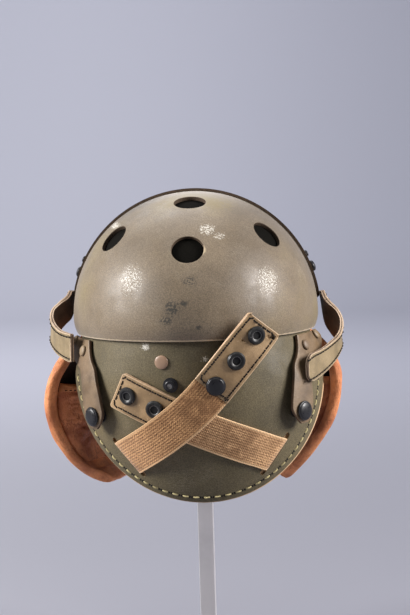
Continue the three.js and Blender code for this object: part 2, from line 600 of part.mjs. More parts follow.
// Goggle loops: near and far edge of the strip, out from the front layer, back and up, as shares of the
// bow, of the setback and of the fall
const GOGGLE_LOOPS = {
  right: [
    { at: 0, nearOut: -0.01, nearBack: -0.08, nearUp: 0.51, farOut: -0.17, farBack: -0.37, farUp: 0.49 },
    { at: 0.12, nearOut: 0.17, nearBack: -0.07, nearUp: 0.2, farOut: 0.04, farBack: -0.37, farUp: 0.16 },
    { at: 0.25, nearOut: 0.76, nearBack: 0, nearUp: -0.01, farOut: 0.2, farBack: -0.24, farUp: -0.2 },
    { at: 0.38, nearOut: 0.95, nearBack: 0.11, nearUp: -0.17, farOut: 0.49, farBack: -0.14, farUp: -0.36 },
    { at: 0.5, nearOut: 0.81, nearBack: 0.24, nearUp: -0.33, farOut: 0.87, farBack: -0.04, farUp: -0.51 },
    { at: 0.65, nearOut: 0.27, nearBack: 0.53, nearUp: -0.45, farOut: 0.69, farBack: 0.27, farUp: -0.66 },
    { at: 0.78, nearOut: -0.14, nearBack: 0.75, nearUp: -0.5, farOut: 0.23, farBack: 0.57, farUp: -0.8 },
    { at: 0.9, nearOut: -0.45, nearBack: 0.91, nearUp: -0.52, farOut: -0.31, farBack: 0.84, farUp: -0.9 },
    { at: 1, nearOut: -0.69, nearBack: 1.01, nearUp: -0.57, farOut: -0.66, farBack: 0.99, farUp: -0.94 },
  ],
  left: [
    { at: 0, nearOut: -0.08, nearBack: -0.08, nearUp: 0.55, farOut: -0.24, farBack: -0.37, farUp: 0.53 },
    { at: 0.12, nearOut: 0.11, nearBack: -0.07, nearUp: 0.32, farOut: -0.03, farBack: -0.36, farUp: 0.27 },
    { at: 0.25, nearOut: 0.52, nearBack: -0.01, nearUp: 0.21, farOut: 0.13, farBack: -0.24, farUp: -0.02 },
    { at: 0.38, nearOut: 0.82, nearBack: 0.05, nearUp: 0.12, farOut: 0.43, farBack: -0.17, farUp: -0.13 },
    { at: 0.5, nearOut: 0.88, nearBack: 0.12, nearUp: 0.02, farOut: 0.77, farBack: -0.11, farUp: -0.25 },
    { at: 0.65, nearOut: 0.73, nearBack: 0.22, nearUp: -0.08, farOut: 0.97, farBack: -0.01, farUp: -0.36 },
    { at: 0.78, nearOut: 0.36, nearBack: 0.44, nearUp: -0.15, farOut: 0.74, farBack: 0.21, farUp: -0.46 },
    { at: 0.9, nearOut: -0.05, nearBack: 0.59, nearUp: -0.18, farOut: 0.31, farBack: 0.44, farUp: -0.55 },
    { at: 1, nearOut: -0.31, nearBack: 0.69, nearUp: -0.18, farOut: -0.29, farBack: 0.68, farUp: -0.61 },
  ],
};

function goggleLoop(rows) {
  const edge = (name, v) => new THREE.Vector3(
    CROWN_WIDTH / 2 + SHELL_OUTSET + LOOP_BOW * follow(rows, `${name}Out`, v),
    -LOOP_SETBACK * follow(rows, `${name}Back`, v),
    SKIRT_HEIGHT + LOOP_FALL * follow(rows, `${name}Up`, v));
  const surface = (u, v) => edge('near', v).lerp(edge('far', v), u);
  const half = LOOP_THICKNESS / 2;
  return sheet(surface, evenly(2), evenly(16), half, -half);
}
add(helmet, 'goggle_loop_right', goggleLoop(GOGGLE_LOOPS.right), OLIVE_LEATHER);
add(helmet, 'goggle_loop_left', mirrored(goggleLoop(GOGGLE_LOOPS.left)), OLIVE_LEATHER);

// Ear flaps: out of the middle plane at the rear and front edge as shares of the reach, and how far back
// and forward these edges lie as shares of the depth
const EAR_FLAPS = {
  left: [
    { at: 0, rearOut: 0.735, frontOut: 0.56, rearBack: 0.05, frontFore: 0.92 },
    { at: 0.06, rearOut: 0.745, frontOut: 0.565, rearBack: 0.06, frontFore: 0.93 },
    { at: 0.12, rearOut: 0.8, frontOut: 0.58, rearBack: 0.08, frontFore: 0.94 },
    { at: 0.21, rearOut: 0.89, frontOut: 0.61, rearBack: 0.1, frontFore: 0.95 },
    { at: 0.35, rearOut: 0.975, frontOut: 0.64, rearBack: 0.13, frontFore: 0.95 },
    { at: 0.5, rearOut: 1, frontOut: 0.66, rearBack: 0.14, frontFore: 0.94 },
    { at: 0.63, rearOut: 0.975, frontOut: 0.66, rearBack: 0.13, frontFore: 0.91 },
    { at: 0.74, rearOut: 0.925, frontOut: 0.64, rearBack: 0.09, frontFore: 0.86 },
    { at: 0.85, rearOut: 0.85, frontOut: 0.61, rearBack: 0.02, frontFore: 0.78 },
    { at: 0.94, rearOut: 0.74, frontOut: 0.57, rearBack: -0.09, frontFore: 0.68 },
    { at: 1, rearOut: 0.6, frontOut: 0.52, rearBack: -0.2, frontFore: 0.58 },
  ],
  right: [
    { at: 0, rearOut: 0.735, frontOut: 0.56, rearBack: 0.05, frontFore: 0.92 },
    { at: 0.06, rearOut: 0.745, frontOut: 0.565, rearBack: 0.06, frontFore: 0.93 },
    { at: 0.12, rearOut: 0.8, frontOut: 0.58, rearBack: 0.08, frontFore: 0.94 },
    { at: 0.25, rearOut: 0.9, frontOut: 0.61, rearBack: 0.1, frontFore: 0.95 },
    { at: 0.35, rearOut: 0.93, frontOut: 0.63, rearBack: 0.12, frontFore: 0.95 },
    { at: 0.5, rearOut: 0.915, frontOut: 0.64, rearBack: 0.13, frontFore: 0.94 },
    { at: 0.63, rearOut: 0.865, frontOut: 0.63, rearBack: 0.12, frontFore: 0.91 },
    { at: 0.74, rearOut: 0.79, frontOut: 0.61, rearBack: 0.08, frontFore: 0.86 },
    { at: 0.85, rearOut: 0.7, frontOut: 0.57, rearBack: 0.01, frontFore: 0.78 },
    { at: 0.94, rearOut: 0.61, frontOut: 0.53, rearBack: -0.1, frontFore: 0.68 },
    { at: 1, rearOut: 0.54, frontOut: 0.49, rearBack: -0.2, frontFore: 0.58 },
  ],
};
const FLAP_TOP = 6;
const FLAP_LEAN = 1.15;
const CUP_FORE = 31;
const CUP_LEVEL = -69;

function earFlap(rows, side) {
  const toSide = (geometry) => (side === 'left' ? mirrored(geometry) : geometry);
  const column = (name, v) => follow(rows, name, THREE.MathUtils.clamp(v, 0, 1));
  const fore = (u, v) => FLAP_DEPTH * mix(-column('rearBack', v), column('frontFore', v), u);
  const surface = (u, v) => {
    const out = mix(column('frontOut', v), column('rearOut', v), (1 - u) * Math.abs(1 - u) ** (FLAP_LEAN - 1));
    return new THREE.Vector3(FLAP_REACH * out, fore(u, v), FLAP_TOP - v * FLAP_DROP);
  };

  // Wall with a padded roll round its free edges
  const swell = (u, v) => {
    const inset = Math.min(u * FLAP_DEPTH, (1 - u) * FLAP_DEPTH, (1 - v) * FLAP_DROP);
    const turn = (2 * inset) / FLAP_ROLL - 1;
    const below = THREE.MathUtils.smoothstep(v, 0.06, 0.16);
    const roll = Math.abs(turn) < 1 ? Math.sqrt(1 - turn ** 2) * below : 0;
    return FLAP_WALL / 2 + ((FLAP_ROLL - FLAP_WALL) / 2) * roll;
  };
  const rollShares = [0, 0.17, 0.5, 0.83, 1].map((share) => (share * FLAP_ROLL) / FLAP_DEPTH);
  const columns = [...rollShares, 0.28, 0.5, 0.72, ...rollShares.map((share) => 1 - share).reverse()];
  const lower = [1, 0.5, 0].map((share) => 1 - (share * FLAP_ROLL) / FLAP_DROP);
  const rows2 = [0, 0.07, 0.15, 0.26, 0.38, 0.5, 0.62, 0.74, 0.84, ...lower];
  add(helmet, `ear_flap_${side}`, toSide(sheet(surface, columns, rows2, swell, (u, v) => -swell(u, v))),
    BROWN_LEATHER);

  // Inner panel: a pocket whose upper edge stands open
  const rollShare = FLAP_ROLL / FLAP_DEPTH;
  const pocketSurface = (u, v) => surface(mix(rollShare * 1.15, 1 - rollShare * 1.15, u), mix(0.36, 0.88, v));
  const bulge = (u, v) => {
    const open = 1 - THREE.MathUtils.smoothstep(v, 0.35, 1);
    const crowned = Math.sin(Math.PI * THREE.MathUtils.clamp(u, 0, 1)) ** 0.7;
    return -FLAP_WALL / 2 - POCKET_GAP - POCKET_BULGE * crowned * open;
  };
  const pocket = sheet(pocketSurface, evenly(8), evenly(6), bulge, (u, v) => bulge(u, v) - POCKET_WALL);
  add(helmet, `ear_pocket_${side}`, toSide(pocket), BROWN_LEATHER);

  // Receiver cup: a low round boss that follows the flap's outer face
  const cupRing = (share, height) => Array.from({ length: 20 }, (_, k) => {
    const angle = (2 * Math.PI * k) / 20;
    const v = (FLAP_TOP - CUP_LEVEL - (CUP_DIAMETER / 2) * share * Math.sin(angle)) / FLAP_DROP;
    const y = CUP_FORE + (CUP_DIAMETER / 2) * share * Math.cos(angle);
    const u = (y - fore(0, v)) / (fore(1, v) - fore(0, v));
    return surface(u, v).addScaledVector(normalOf(surface, u, v), FLAP_WALL / 2 + CUP_GAP + height);
  });
  const cupRings = [[0.5, 0], [0.96, 0], [1, 0.2], [1, 0.75], [0.94, 1], [0.5, 1]];
  const rings = cupRings.map(([share, height]) => cupRing(share, height * CUP_HEIGHT));
  const cup = throughRings(rings, cupRing(0, 0)[0], cupRing(0, CUP_HEIGHT)[0]);
  add(helmet, `ear_cup_${side}`, toSide(cup), DARK_LEATHER);
}
earFlap(EAR_FLAPS.left, 'left');
earFlap(EAR_FLAPS.right, 'right');

// Stand: round base, square post, and a low dome under the crown's top
const restTop = RIM_HEIGHT + SKIRT_HEIGHT + DOME_HEIGHT - CROWN_WALL - 2 * CLEARANCE;
const postHeight = restTop - REST_HEIGHT - CLEARANCE - BASE_THICKNESS - CLEARANCE;
const base = add(stand, 'stand_base',
  new THREE.CylinderGeometry(BASE_DIAMETER / 2, BASE_DIAMETER / 2, BASE_THICKNESS, 40), STAND_PAINT);
base.rotation.x = Math.PI / 2;
base.position.z = BASE_THICKNESS / 2;
const post = add(stand, 'stand_post', new THREE.BoxGeometry(POST_SIZE, POST_SIZE, postHeight), STAND_PAINT);
post.position.z = BASE_THICKNESS + CLEARANCE + postHeight / 2;
const restRadius = REST_DIAMETER / 2;
const rest = add(stand, 'stand_rest', turned([[0, 0], [restRadius, 0], [restRadius, REST_HEIGHT - REST_CROWNING],
  [restRadius * 0.55, REST_HEIGHT - REST_CROWNING * 0.3], [0, REST_HEIGHT]], 20), STAND_PAINT);
rest.rotation.x = Math.PI / 2;
rest.position.z = restTop - REST_HEIGHT;

helmet.position.set(-STAND_OFFSET, 0, RIM_HEIGHT);
const assembly = new THREE.Group();
assembly.add(helmet, stand);
export default assembly;
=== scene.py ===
import bmesh
import bpy
import numpy as np
from mathutils import Matrix, Vector


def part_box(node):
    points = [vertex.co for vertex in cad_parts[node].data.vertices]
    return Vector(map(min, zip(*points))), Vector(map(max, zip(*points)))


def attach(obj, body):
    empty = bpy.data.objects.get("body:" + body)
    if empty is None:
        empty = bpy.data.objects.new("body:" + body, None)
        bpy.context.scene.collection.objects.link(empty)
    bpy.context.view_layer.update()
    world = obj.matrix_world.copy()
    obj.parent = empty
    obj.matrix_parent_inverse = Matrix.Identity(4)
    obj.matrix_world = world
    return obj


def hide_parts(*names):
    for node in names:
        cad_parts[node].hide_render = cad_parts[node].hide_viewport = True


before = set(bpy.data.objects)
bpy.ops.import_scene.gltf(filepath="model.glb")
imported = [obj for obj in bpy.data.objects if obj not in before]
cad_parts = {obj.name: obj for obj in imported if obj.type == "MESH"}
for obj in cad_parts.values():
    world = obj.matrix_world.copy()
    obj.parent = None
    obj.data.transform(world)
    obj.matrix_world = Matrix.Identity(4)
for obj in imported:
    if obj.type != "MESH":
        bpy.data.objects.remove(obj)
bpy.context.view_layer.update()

# Stand
# A steel base plate, a square hollow post and a low dome carry the helmet under its crown. All three are
# painted a satin grey. The post is pushed into the base, and the dome closes its top.
RIM_HEIGHT = 0.270
STAND_OFFSET = 0.003
BASE_DIAMETER = 0.180
BASE_THICKNESS = 0.010
BASE_ROUNDING = 0.0018
POST_ROUNDING = 0.0007
REST_DIAMETER = 0.040
REST_HEIGHT = 0.009
REST_CROWNING = 0.003
ROUND_STEPS = 72
SHARP_EDGE = np.radians(38)


def nodes_in(tree):
    """A function that adds a node to a tree, with its settings by name and its inputs by socket."""
    def node(kind, inputs=None, **settings):
        made = tree.nodes.new(kind)
        for name, value in settings.items():
            setattr(made, name, value)
        for socket, value in (inputs or {}).items():
            if isinstance(value, bpy.types.NodeSocket):
                tree.links.new(value, made.inputs[socket])
            else:
                made.inputs[socket].default_value = value
        return made

    return node


def new_group(name, inputs, outputs):
    """An empty shader group with named sockets, its node function, its input sockets and its output node."""
    group = bpy.data.node_groups.new(name, "ShaderNodeTree")
    for label, kind, value in inputs:
        socket = group.interface.new_socket(label, in_out="INPUT", socket_type=f"NodeSocket{kind}")
        socket.default_value = value
    for label, kind in outputs:
        group.interface.new_socket(label, in_out="OUTPUT", socket_type=f"NodeSocket{kind}")
    node = nodes_in(group)
    return group, node, node("NodeGroupInput").outputs, node("NodeGroupOutput")


def use(node, group, **values):
    """The outputs of a shader group that is placed in a material with its own values."""
    return node("ShaderNodeGroup", values, node_tree=group).outputs


def spot_in(node):
    """Where a point lies, in the object's own coordinates."""
    return node("ShaderNodeTexCoord").outputs["Object"]


def maths(node, operation, first, second=0.0):
    return node("ShaderNodeMath", {0: first, 1: second}, operation=operation).outputs[0]


def times(node, first, second):
    return maths(node, "MULTIPLY", first, second)


def gap(node, first, second):
    """How far two values are apart."""
    return maths(node, "ABSOLUTE", maths(node, "SUBTRACT", first, second))


def blended(node, factor, first, second, how="MIX"):
    """Two colours mixed by a factor."""
    made = node("ShaderNodeMix", {0: factor, 6: first, 7: second}, data_type="RGBA", blend_type=how,
                clamp_factor=True)
    return made.outputs[2]


def ranged(node, value, low, high, to_low=0.0, to_high=1.0):
    """A value's range from low to high, turned smoothly into another range."""
    given = {"Value": value, "From Min": low, "From Max": high, "To Min": to_low, "To Max": to_high}
    return node("ShaderNodeMapRange", given, interpolation_type="SMOOTHSTEP").outputs["Result"]


def noise(node, place, scale, detail=4.0, roughness=0.55):
    given = {"Vector": place, "Scale": scale, "Detail": detail, "Roughness": roughness}
    return node("ShaderNodeTexNoise", given).outputs["Fac"]


def patchy(node, spot, first, second, scale, low, high, detail=4.0, most=1.0):
    """A colour with patches of a second one, where a noise is past low, and most where it is past high."""
    return blended(node, ranged(node, noise(node, spot, scale, detail), low, high, 0.0, most), first, second)


def uneven(node, spot, scale, low, high, detail=4.0):
    """A value that a noise spreads between low and high."""
    return ranged(node, noise(node, spot, scale, detail), 0.3, 0.7, low, high)


def new_material(name, **sockets):
    """A material with one shader, whose plain values are set on its sockets, and its node function."""
    material = bpy.data.materials.new(name)
    material.use_nodes = True
    node = nodes_in(material.node_tree)
    shader = material.node_tree.nodes["Principled BSDF"]
    for socket, value in sockets.items():
        shader.inputs[socket.replace("_", " ")].default_value = value
    return material, node, shader.inputs


def link(source, target):
    target.id_data.links.new(source, target)


def finish(shader, tone, roughness, bump):
    """Gives a shader its colour, roughness and normal, each the output of another node."""
    link(tone, shader["Base Color"])
    link(roughness, shader["Roughness"])
    link(bump, shader["Normal"])


# Grain: mottle and a fine bump. Scale is in repeats for each metre, depth in metres
grain, node, given, result = new_group(
    "Grain",
    [("Scale", "Float", 900.0), ("Depth", "Float", 0.0002), ("Strength", "Float", 0.3),
     ("Pebble", "Float", 0.5)],
    [("Mottle", "Float"), ("Normal", "Vector")])
spot = spot_in(node)
fine = noise(node, spot, given["Scale"])
cells = node("ShaderNodeTexVoronoi", {"Vector": spot, "Scale": given["Scale"]}).outputs["Distance"]
height = maths(node, "ADD", fine, times(node, cells, given["Pebble"]))
bump = node("ShaderNodeBump", {"Strength": given["Strength"], "Distance": given["Depth"], "Height": height})
link(fine, result.inputs["Mottle"])
link(bump.outputs["Normal"], result.inputs["Normal"])


def painted_metal(name, colour, dull, roughness):
    """Satin paint on metal, with faint darker patches and a fine orange-peel bump."""
    material, node, shader = new_material(name, Specular_IOR_Level=0.5)
    peel = use(node, grain, Scale=1400.0, Depth=0.00008, Strength=0.25, Pebble=0.3)
    spot = spot_in(node)
    tone = patchy(node, spot, colour, dull, 24.0, 0.42, 0.68)
    finish(shader, tone, uneven(node, spot, 60.0, roughness - 0.12, roughness + 0.12), peel["Normal"])
    return material


def smooth(piece, sharp=SHARP_EDGE):
    piece.data.shade_smooth()
    piece.data.set_sharp_from_angle(angle=sharp)


def new_mesh(name, vertices, faces, materials, corner_uv=None, sharp=SHARP_EDGE):
    """A mesh object whose place is in its mesh, smooth but for edges past the sharp angle."""
    mesh = bpy.data.meshes.new(name)
    mesh.from_pydata(np.asarray(vertices).tolist(), [], [tuple(int(k) for k in face) for face in faces])
    if corner_uv is not None:
        layer = mesh.uv_layers.new(name="lay")
        corners = np.empty(len(mesh.loops), int)
        mesh.loops.foreach_get("vertex_index", corners)
        layer.data.foreach_set("uv", np.asarray(corner_uv)[corners].ravel())
    for material in materials:
        mesh.materials.append(material)
    piece = bpy.data.objects.new(name, mesh)
    bpy.context.scene.collection.objects.link(piece)
    smooth(piece, sharp)
    return piece


def settle(piece):
    """Turns a piece with its modifiers into a plain mesh."""
    shape = piece.evaluated_get(bpy.context.evaluated_depsgraph_get())
    mesh = bpy.data.meshes.new_from_object(shape)
    piece.modifiers.clear()
    piece.data = mesh
    mesh.name = piece.name
    smooth(piece)


def turn_outwards(piece):
    """Turns all faces of a closed mesh to look outwards."""
    shape = bmesh.new()
    shape.from_mesh(piece.data)
    bmesh.ops.recalc_face_normals(shape, faces=shape.faces)
    shape.to_mesh(piece.data)
    shape.free()


def stands_for(piece, *cad_nodes, slot):
    """The piece rides on the one body and replaces these nodes of the CAD part."""
    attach(piece, "root")
    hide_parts(*cad_nodes)


def full_turn(steps):
    return 2 * np.pi * np.arange(steps) / steps


def lathe(profile, steps=ROUND_STEPS):
    """Vertices and faces of a shape turned about Z, from pairs of radius and height."""
    angles = full_turn(steps)
    vertices, rings = [], []
    for radius, rise in profile:
        if radius < 1e-6:
            rings.append([len(vertices)] * steps)
            vertices.append((0.0, 0.0, rise))
        else:
            rings.append(list(range(len(vertices), len(vertices) + steps)))
            vertices += [(radius * np.cos(a), radius * np.sin(a), rise) for a in angles]
    faces = []
    for lower, upper in zip(rings, rings[1:]):
        for k in range(steps):
            corners = (lower[k], lower[(k + 1) % steps], upper[(k + 1) % steps], upper[k])
            faces.append(tuple(dict.fromkeys(corners)))
    return np.array(vertices), faces


def rounded_edge(radius, rise, rounding, turn, steps=5):
    """Points of a quarter round at an outer corner: turn is -1 at a lower corner and 1 at an upper one."""
    centre = (radius - rounding, rise - turn * rounding)
    angles = np.linspace(0, np.pi / 2, steps)
    if turn < 0:
        angles = angles[::-1]
    return [(centre[0] + rounding * np.cos(a), centre[1] + turn * rounding * np.sin(a)) for a in angles]


stand_paint = painted_metal("stand_paint", (0.40, 0.39, 0.41, 1), (0.35, 0.34, 0.36, 1), 0.46)
base_radius = BASE_DIAMETER / 2
base_profile = [(0, 0), *rounded_edge(base_radius, 0, BASE_ROUNDING, -1),
                *rounded_edge(base_radius, BASE_THICKNESS, BASE_ROUNDING, 1), (0, BASE_THICKNESS)]
stand_base = new_mesh("base_plate", *lathe(base_profile, 120), [stand_paint])
stands_for(stand_base, "stand_base", slot="stand_paint")

post_low, post_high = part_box("stand_post")
corners = [(x, y, z) for z in (post_low.z, post_high.z) for y in (post_low.y, post_high.y)
           for x in (post_low.x, post_high.x)]
post_faces = [(0, 2, 3, 1), (4, 5, 7, 6), (0, 1, 5, 4), (1, 3, 7, 5), (3, 2, 6, 7), (2, 0, 4, 6)]
post = new_mesh("post", corners, post_faces, [stand_paint])
rounding = post.modifiers.new("rounding", "BEVEL")
rounding.width = POST_ROUNDING
rounding.segments = 4
settle(post)
stands_for(post, "stand_post", slot="stand_paint")

rest_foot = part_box("stand_rest")[0].z
rest_radius = REST_DIAMETER / 2
shoulder = REST_HEIGHT - REST_CROWNING
dome_angles = np.linspace(0, np.pi / 2, 12)
crowned = [(rest_radius * np.cos(a), shoulder + REST_CROWNING * np.sin(a)) for a in dome_angles[:-1]]
rest_vertices, rest_faces = lathe([(0, 0), (rest_radius, 0), *crowned, (0, REST_HEIGHT)])
rest = new_mesh("rest_dome", rest_vertices + [0, 0, rest_foot], rest_faces, [stand_paint])
stands_for(rest, "stand_rest", slot="stand_paint")

# Crown
# The crown is one dome of pressed fibre, 3 mm thick, with a short skirt that draws in to its lower rim. It is
# painted olive drab and worn: scuffs show pale, and the bare fibre shows tan along the rim. Pale specks on
# its two rear shoulders are painted highlight.
# Eight round vents are punched through it, four of them behind.
CROWN_WIDTH = 0.200
CROWN_LENGTH = 0.232
DOME_HEIGHT = 0.100
SKIRT_HEIGHT = 0.013
SKIRT_DRAW_IN = 0.003
CROWN_WALL = 0.003
RIM_ROUNDING = 0.0009
VENT_DIAMETER = 0.0254
VENT_LIP = 0.0004
PUNCH_REACH = 0.012
VENT_BEARINGS = (0, 0, 55, -55)
VENT_RISES = (0.58, 0.93, 0.66, 0.66)
HELMET = np.array([-STAND_OFFSET, 0, RIM_HEIGHT])


def crown_point(bearing, rise, inset):
    """A point of the dome, from its bearing from the rear and its rise over the rim. Inset is inwards."""
    level = rise - SKIRT_HEIGHT
    share = np.sqrt(np.clip(1 - (np.maximum(level, 0) / (DOME_HEIGHT - inset)) ** 2, 0, 1))
    draw_in = SKIRT_DRAW_IN * (np.minimum(level, 0) / SKIRT_HEIGHT) ** 2
    half_width = (CROWN_WIDTH / 2 - inset) * share - draw_in
    half_length = (CROWN_LENGTH / 2 - inset) * share - draw_in
    across, along = np.sin(bearing) * half_width, -np.cos(bearing) * half_length
    return np.stack(np.broadcast_arrays(across, along, rise), -1)


def crown_normal(place):
    out = np.array([place[0] / (CROWN_WIDTH / 2) ** 2, place[1] / (CROWN_LENGTH / 2) ** 2,
                    max(0, place[2] - SKIRT_HEIGHT) / DOME_HEIGHT ** 2])
    return out / np.linalg.norm(out)


def stacked(first, rings, last):
    """Vertices and faces of a closed shape: a pole, rings of as many points each, and a pole."""
    vertices = np.concatenate([[first], *rings, [last]])
    around, end = len(rings[0]), len(vertices) - 1
    faces = []
    for k in range(around):
        after = (k + 1) % around
        faces.append((0, 1 + k, 1 + after))
        for ring in range(len(rings) - 1):
            here, below = 1 + ring * around, 1 + (ring + 1) * around
            faces.append((here + k, below + k, below + after, here + after))
        faces.append((end, end - around + after, end - around + k))
    return vertices, faces


def dome_shell(outer_inset, wall, around=192, up=56):
    """Vertices and faces of a closed dome with a rounded lower rim."""
    def course(inset):
        climb = np.linspace(np.pi / 2, 0, up)[1:]
        skirt = np.linspace(SKIRT_HEIGHT, RIM_ROUNDING, 8)[1:]
        return np.concatenate([SKIRT_HEIGHT + (DOME_HEIGHT - inset) * np.sin(climb), skirt])

    inner_inset = outer_inset + wall
    rim = [(RIM_ROUNDING * (1 - np.cos(t)), RIM_ROUNDING * (1 - np.sin(t)))
           for t in np.linspace(0, np.pi / 2, 5)[1:]]
    lower = [(outer_inset + depth, rise) for depth, rise in rim]
    upper = [(inner_inset - depth, rise) for depth, rise in rim[::-1]]
    pairs = [(outer_inset, rise) for rise in course(outer_inset)] + lower + upper
    pairs += [(inner_inset, rise) for rise in course(inner_inset)[::-1]]
    rings = [crown_point(full_turn(around), rise, inset) for inset, rise in pairs]
    apexes = [(0, 0, SKIRT_HEIGHT + DOME_HEIGHT - inset) for inset in (outer_inset, inner_inset)]
    vertices, faces = stacked(apexes[0], rings, apexes[1])
    return vertices + HELMET, faces


def turned_to(vertices, place, out):
    """Turns what stands on Z to a direction and moves it to a place in the helmet."""
    turn = Vector((0, 0, 1)).rotation_difference(Vector(out)).to_matrix()
    return vertices @ np.array(turn).T + place + HELMET


def cut(piece, tool, how="DIFFERENCE"):
    """Cuts a piece by a tool, whose material goes to the cut faces, and takes the tool away."""
    knife = piece.modifiers.new("cut", "BOOLEAN")
    knife.object = tool
    knife.operation = how
    knife.solver = "EXACT"
    knife.material_mode = "TRANSFER"
    settle(piece)
    bpy.data.objects.remove(tool)


# Mark: a spot of a surface, ragged by a noise. It serves for worn spots, and for painted highlight on the
# crown's shoulders. Centre and size are in metres
mark, node, given, result = new_group(
    "Mark",
    [("Centre", "Vector", (0, 0, 0)), ("Size", "Vector", (0.01, 0.01, 0.01)), ("Grit", "Float", 900.0),
     ("Cover", "Float", 0.5)],
    [("Mask", "Float")])
spot = spot_in(node)
offset = node("ShaderNodeVectorMath", {0: spot, 1: given["Centre"]}, operation="SUBTRACT").outputs[0]
share = node("ShaderNodeVectorMath", {0: offset, 1: given["Size"]}, operation="DIVIDE").outputs[0]
reach = node("ShaderNodeVectorMath", {0: share}, operation="LENGTH").outputs["Value"]
near = ranged(node, reach, 0.2, 1.0, 1.0, 0.0)
ragged = maths(node, "ADD", noise(node, spot, given["Grit"], 6.0, 0.7), times(node, near, 0.22))
level = maths(node, "SUBTRACT", 0.86, times(node, given["Cover"], 0.3))
specks = ranged(node, maths(node, "SUBTRACT", ragged, level), 0.0, 0.06)
link(times(node, specks, near), result.inputs["Mask"])

# Scratches: thin broken lines in two directions
scratches, node, given, result = new_group(
    "Scratches",
    [("Scale", "Float", 40.0), ("Cover", "Float", 0.3)], [("Mask", "Float")])
spot = spot_in(node)
lines = []
for tilt, stretch in ((0.5, 9.0), (-0.9, 7.0)):
    laid = node("ShaderNodeMapping",
                {"Vector": spot, "Rotation": (0.2, tilt, 0.3), "Scale": (1.0, 1.0, stretch)}).outputs[0]
    streak = noise(node, laid, times(node, given["Scale"], 6.0), 3.0, 0.6)
    lines.append(ranged(node, gap(node, streak, 0.5), 0.0, 0.008, 1.0, 0.0))
field = maths(node, "SUBTRACT", noise(node, spot, given["Scale"], 3.0, 0.6), given["Cover"])
link(times(node, maths(node, "MAXIMUM", *lines), ranged(node, field, 0.18, 0.3)), result.inputs["Mask"])


def worn_paint(name, colour, dull, warm, marks, scratch_cover, roughness, bare_up_to=None, dust=0.0):
    """Old paint on pressed fibre: mottled, speckled, rubbed bare in spots and lines and up to a level. Some
    of its marks are painted highlight specks.
    """
    material, node, shader = new_material(name, Specular_IOR_Level=0.32, Coat_Weight=0.06, Coat_Roughness=0.4,
                                          Sheen_Weight=dust, Sheen_Roughness=0.5)
    spot = spot_in(node)
    grit = use(node, grain, Scale=1100.0, Depth=0.00022, Strength=0.38, Pebble=0.7)
    paint = patchy(node, spot, colour, dull, 16.0, 0.36, 0.66, 5.0)
    paint = patchy(node, spot, paint, warm, 9.0, 0.5, 0.72, 3.0)
    speckle = ranged(node, grit["Mottle"], 0.34, 0.7, 0.72, 1.24)
    shade = node("ShaderNodeCombineColor", {0: speckle, 1: speckle, 2: speckle}).outputs[0]
    paint = blended(node, 1.0, paint, shade, "MULTIPLY")
    lines = use(node, scratches, Scale=26.0, Cover=scratch_cover)["Mask"]
    paint = blended(node, times(node, lines, 0.6), paint, SCRATCHED)
    flecks = ranged(node, noise(node, spot, 620.0, 5.0, 0.75), 0.66, 0.71)
    zone = ranged(node, noise(node, spot, 22.0, 3.0), 0.5, 0.6, 0.1, 0.8)
    paint = blended(node, times(node, flecks, zone), paint, PALE_SCUFF_AND_GLINT)
    for values in marks:
        row = dict(zip(MARK_COLUMNS, values))
        centre, size = on_dome(row["across"], row["rise"]), (row["wide"], MARK_DEPTH, row["high"])
        worn = use(node, mark, Centre=tuple(HELMET + centre), Size=size, Grit=row["grit"], Cover=row["cover"])
        paint = blended(node, worn["Mask"], paint, row["tone"])
    if bare_up_to is not None:
        rise = node("ShaderNodeSeparateXYZ", {"Vector": spot}).outputs["Z"]
        ragged = maths(node, "ADD", rise, times(node, noise(node, spot, 260.0, 5.0, 0.7), 2 * RIM_RAGGED))
        edge = RIM_HEIGHT + bare_up_to + RIM_RAGGED
        bare = ranged(node, ragged, edge - RIM_SOFT, edge + RIM_SOFT, 1.0, 0.0)
        paint = blended(node, bare, paint, RUBBED)
    finish(shader, paint, uneven(node, spot, 70.0, roughness - 0.1, roughness + 0.12, 5.0), grit["Normal"])
    return material


def bare_fibre(name, colour, dark, shine=0.3):
    """Pressed fibre with its paint rubbed off: tan, matt and felted. Made near-black, it is also the painted
    shade inside the crown and the ear flaps.
    """
    material, node, shader = new_material(name, Specular_IOR_Level=shine)
    felt = use(node, grain, Scale=1700.0, Depth=0.0003, Strength=0.5, Pebble=0.6)
    link(blended(node, ranged(node, felt["Mottle"], 0.35, 0.65), dark, colour), shader["Base Color"])
    shader["Roughness"].default_value = 0.82
    link(felt["Normal"], shader["Normal"])
    return material


def on_dome(across, rise):
    """A place of the crown's rear half, from its distance across and its rise over the rim."""
    share = 1 - (across / (CROWN_WIDTH / 2)) ** 2 - (max(0, rise - SKIRT_HEIGHT) / DOME_HEIGHT) ** 2
    return np.array([across, -CROWN_LENGTH / 2 * np.sqrt(max(0, share)), rise])


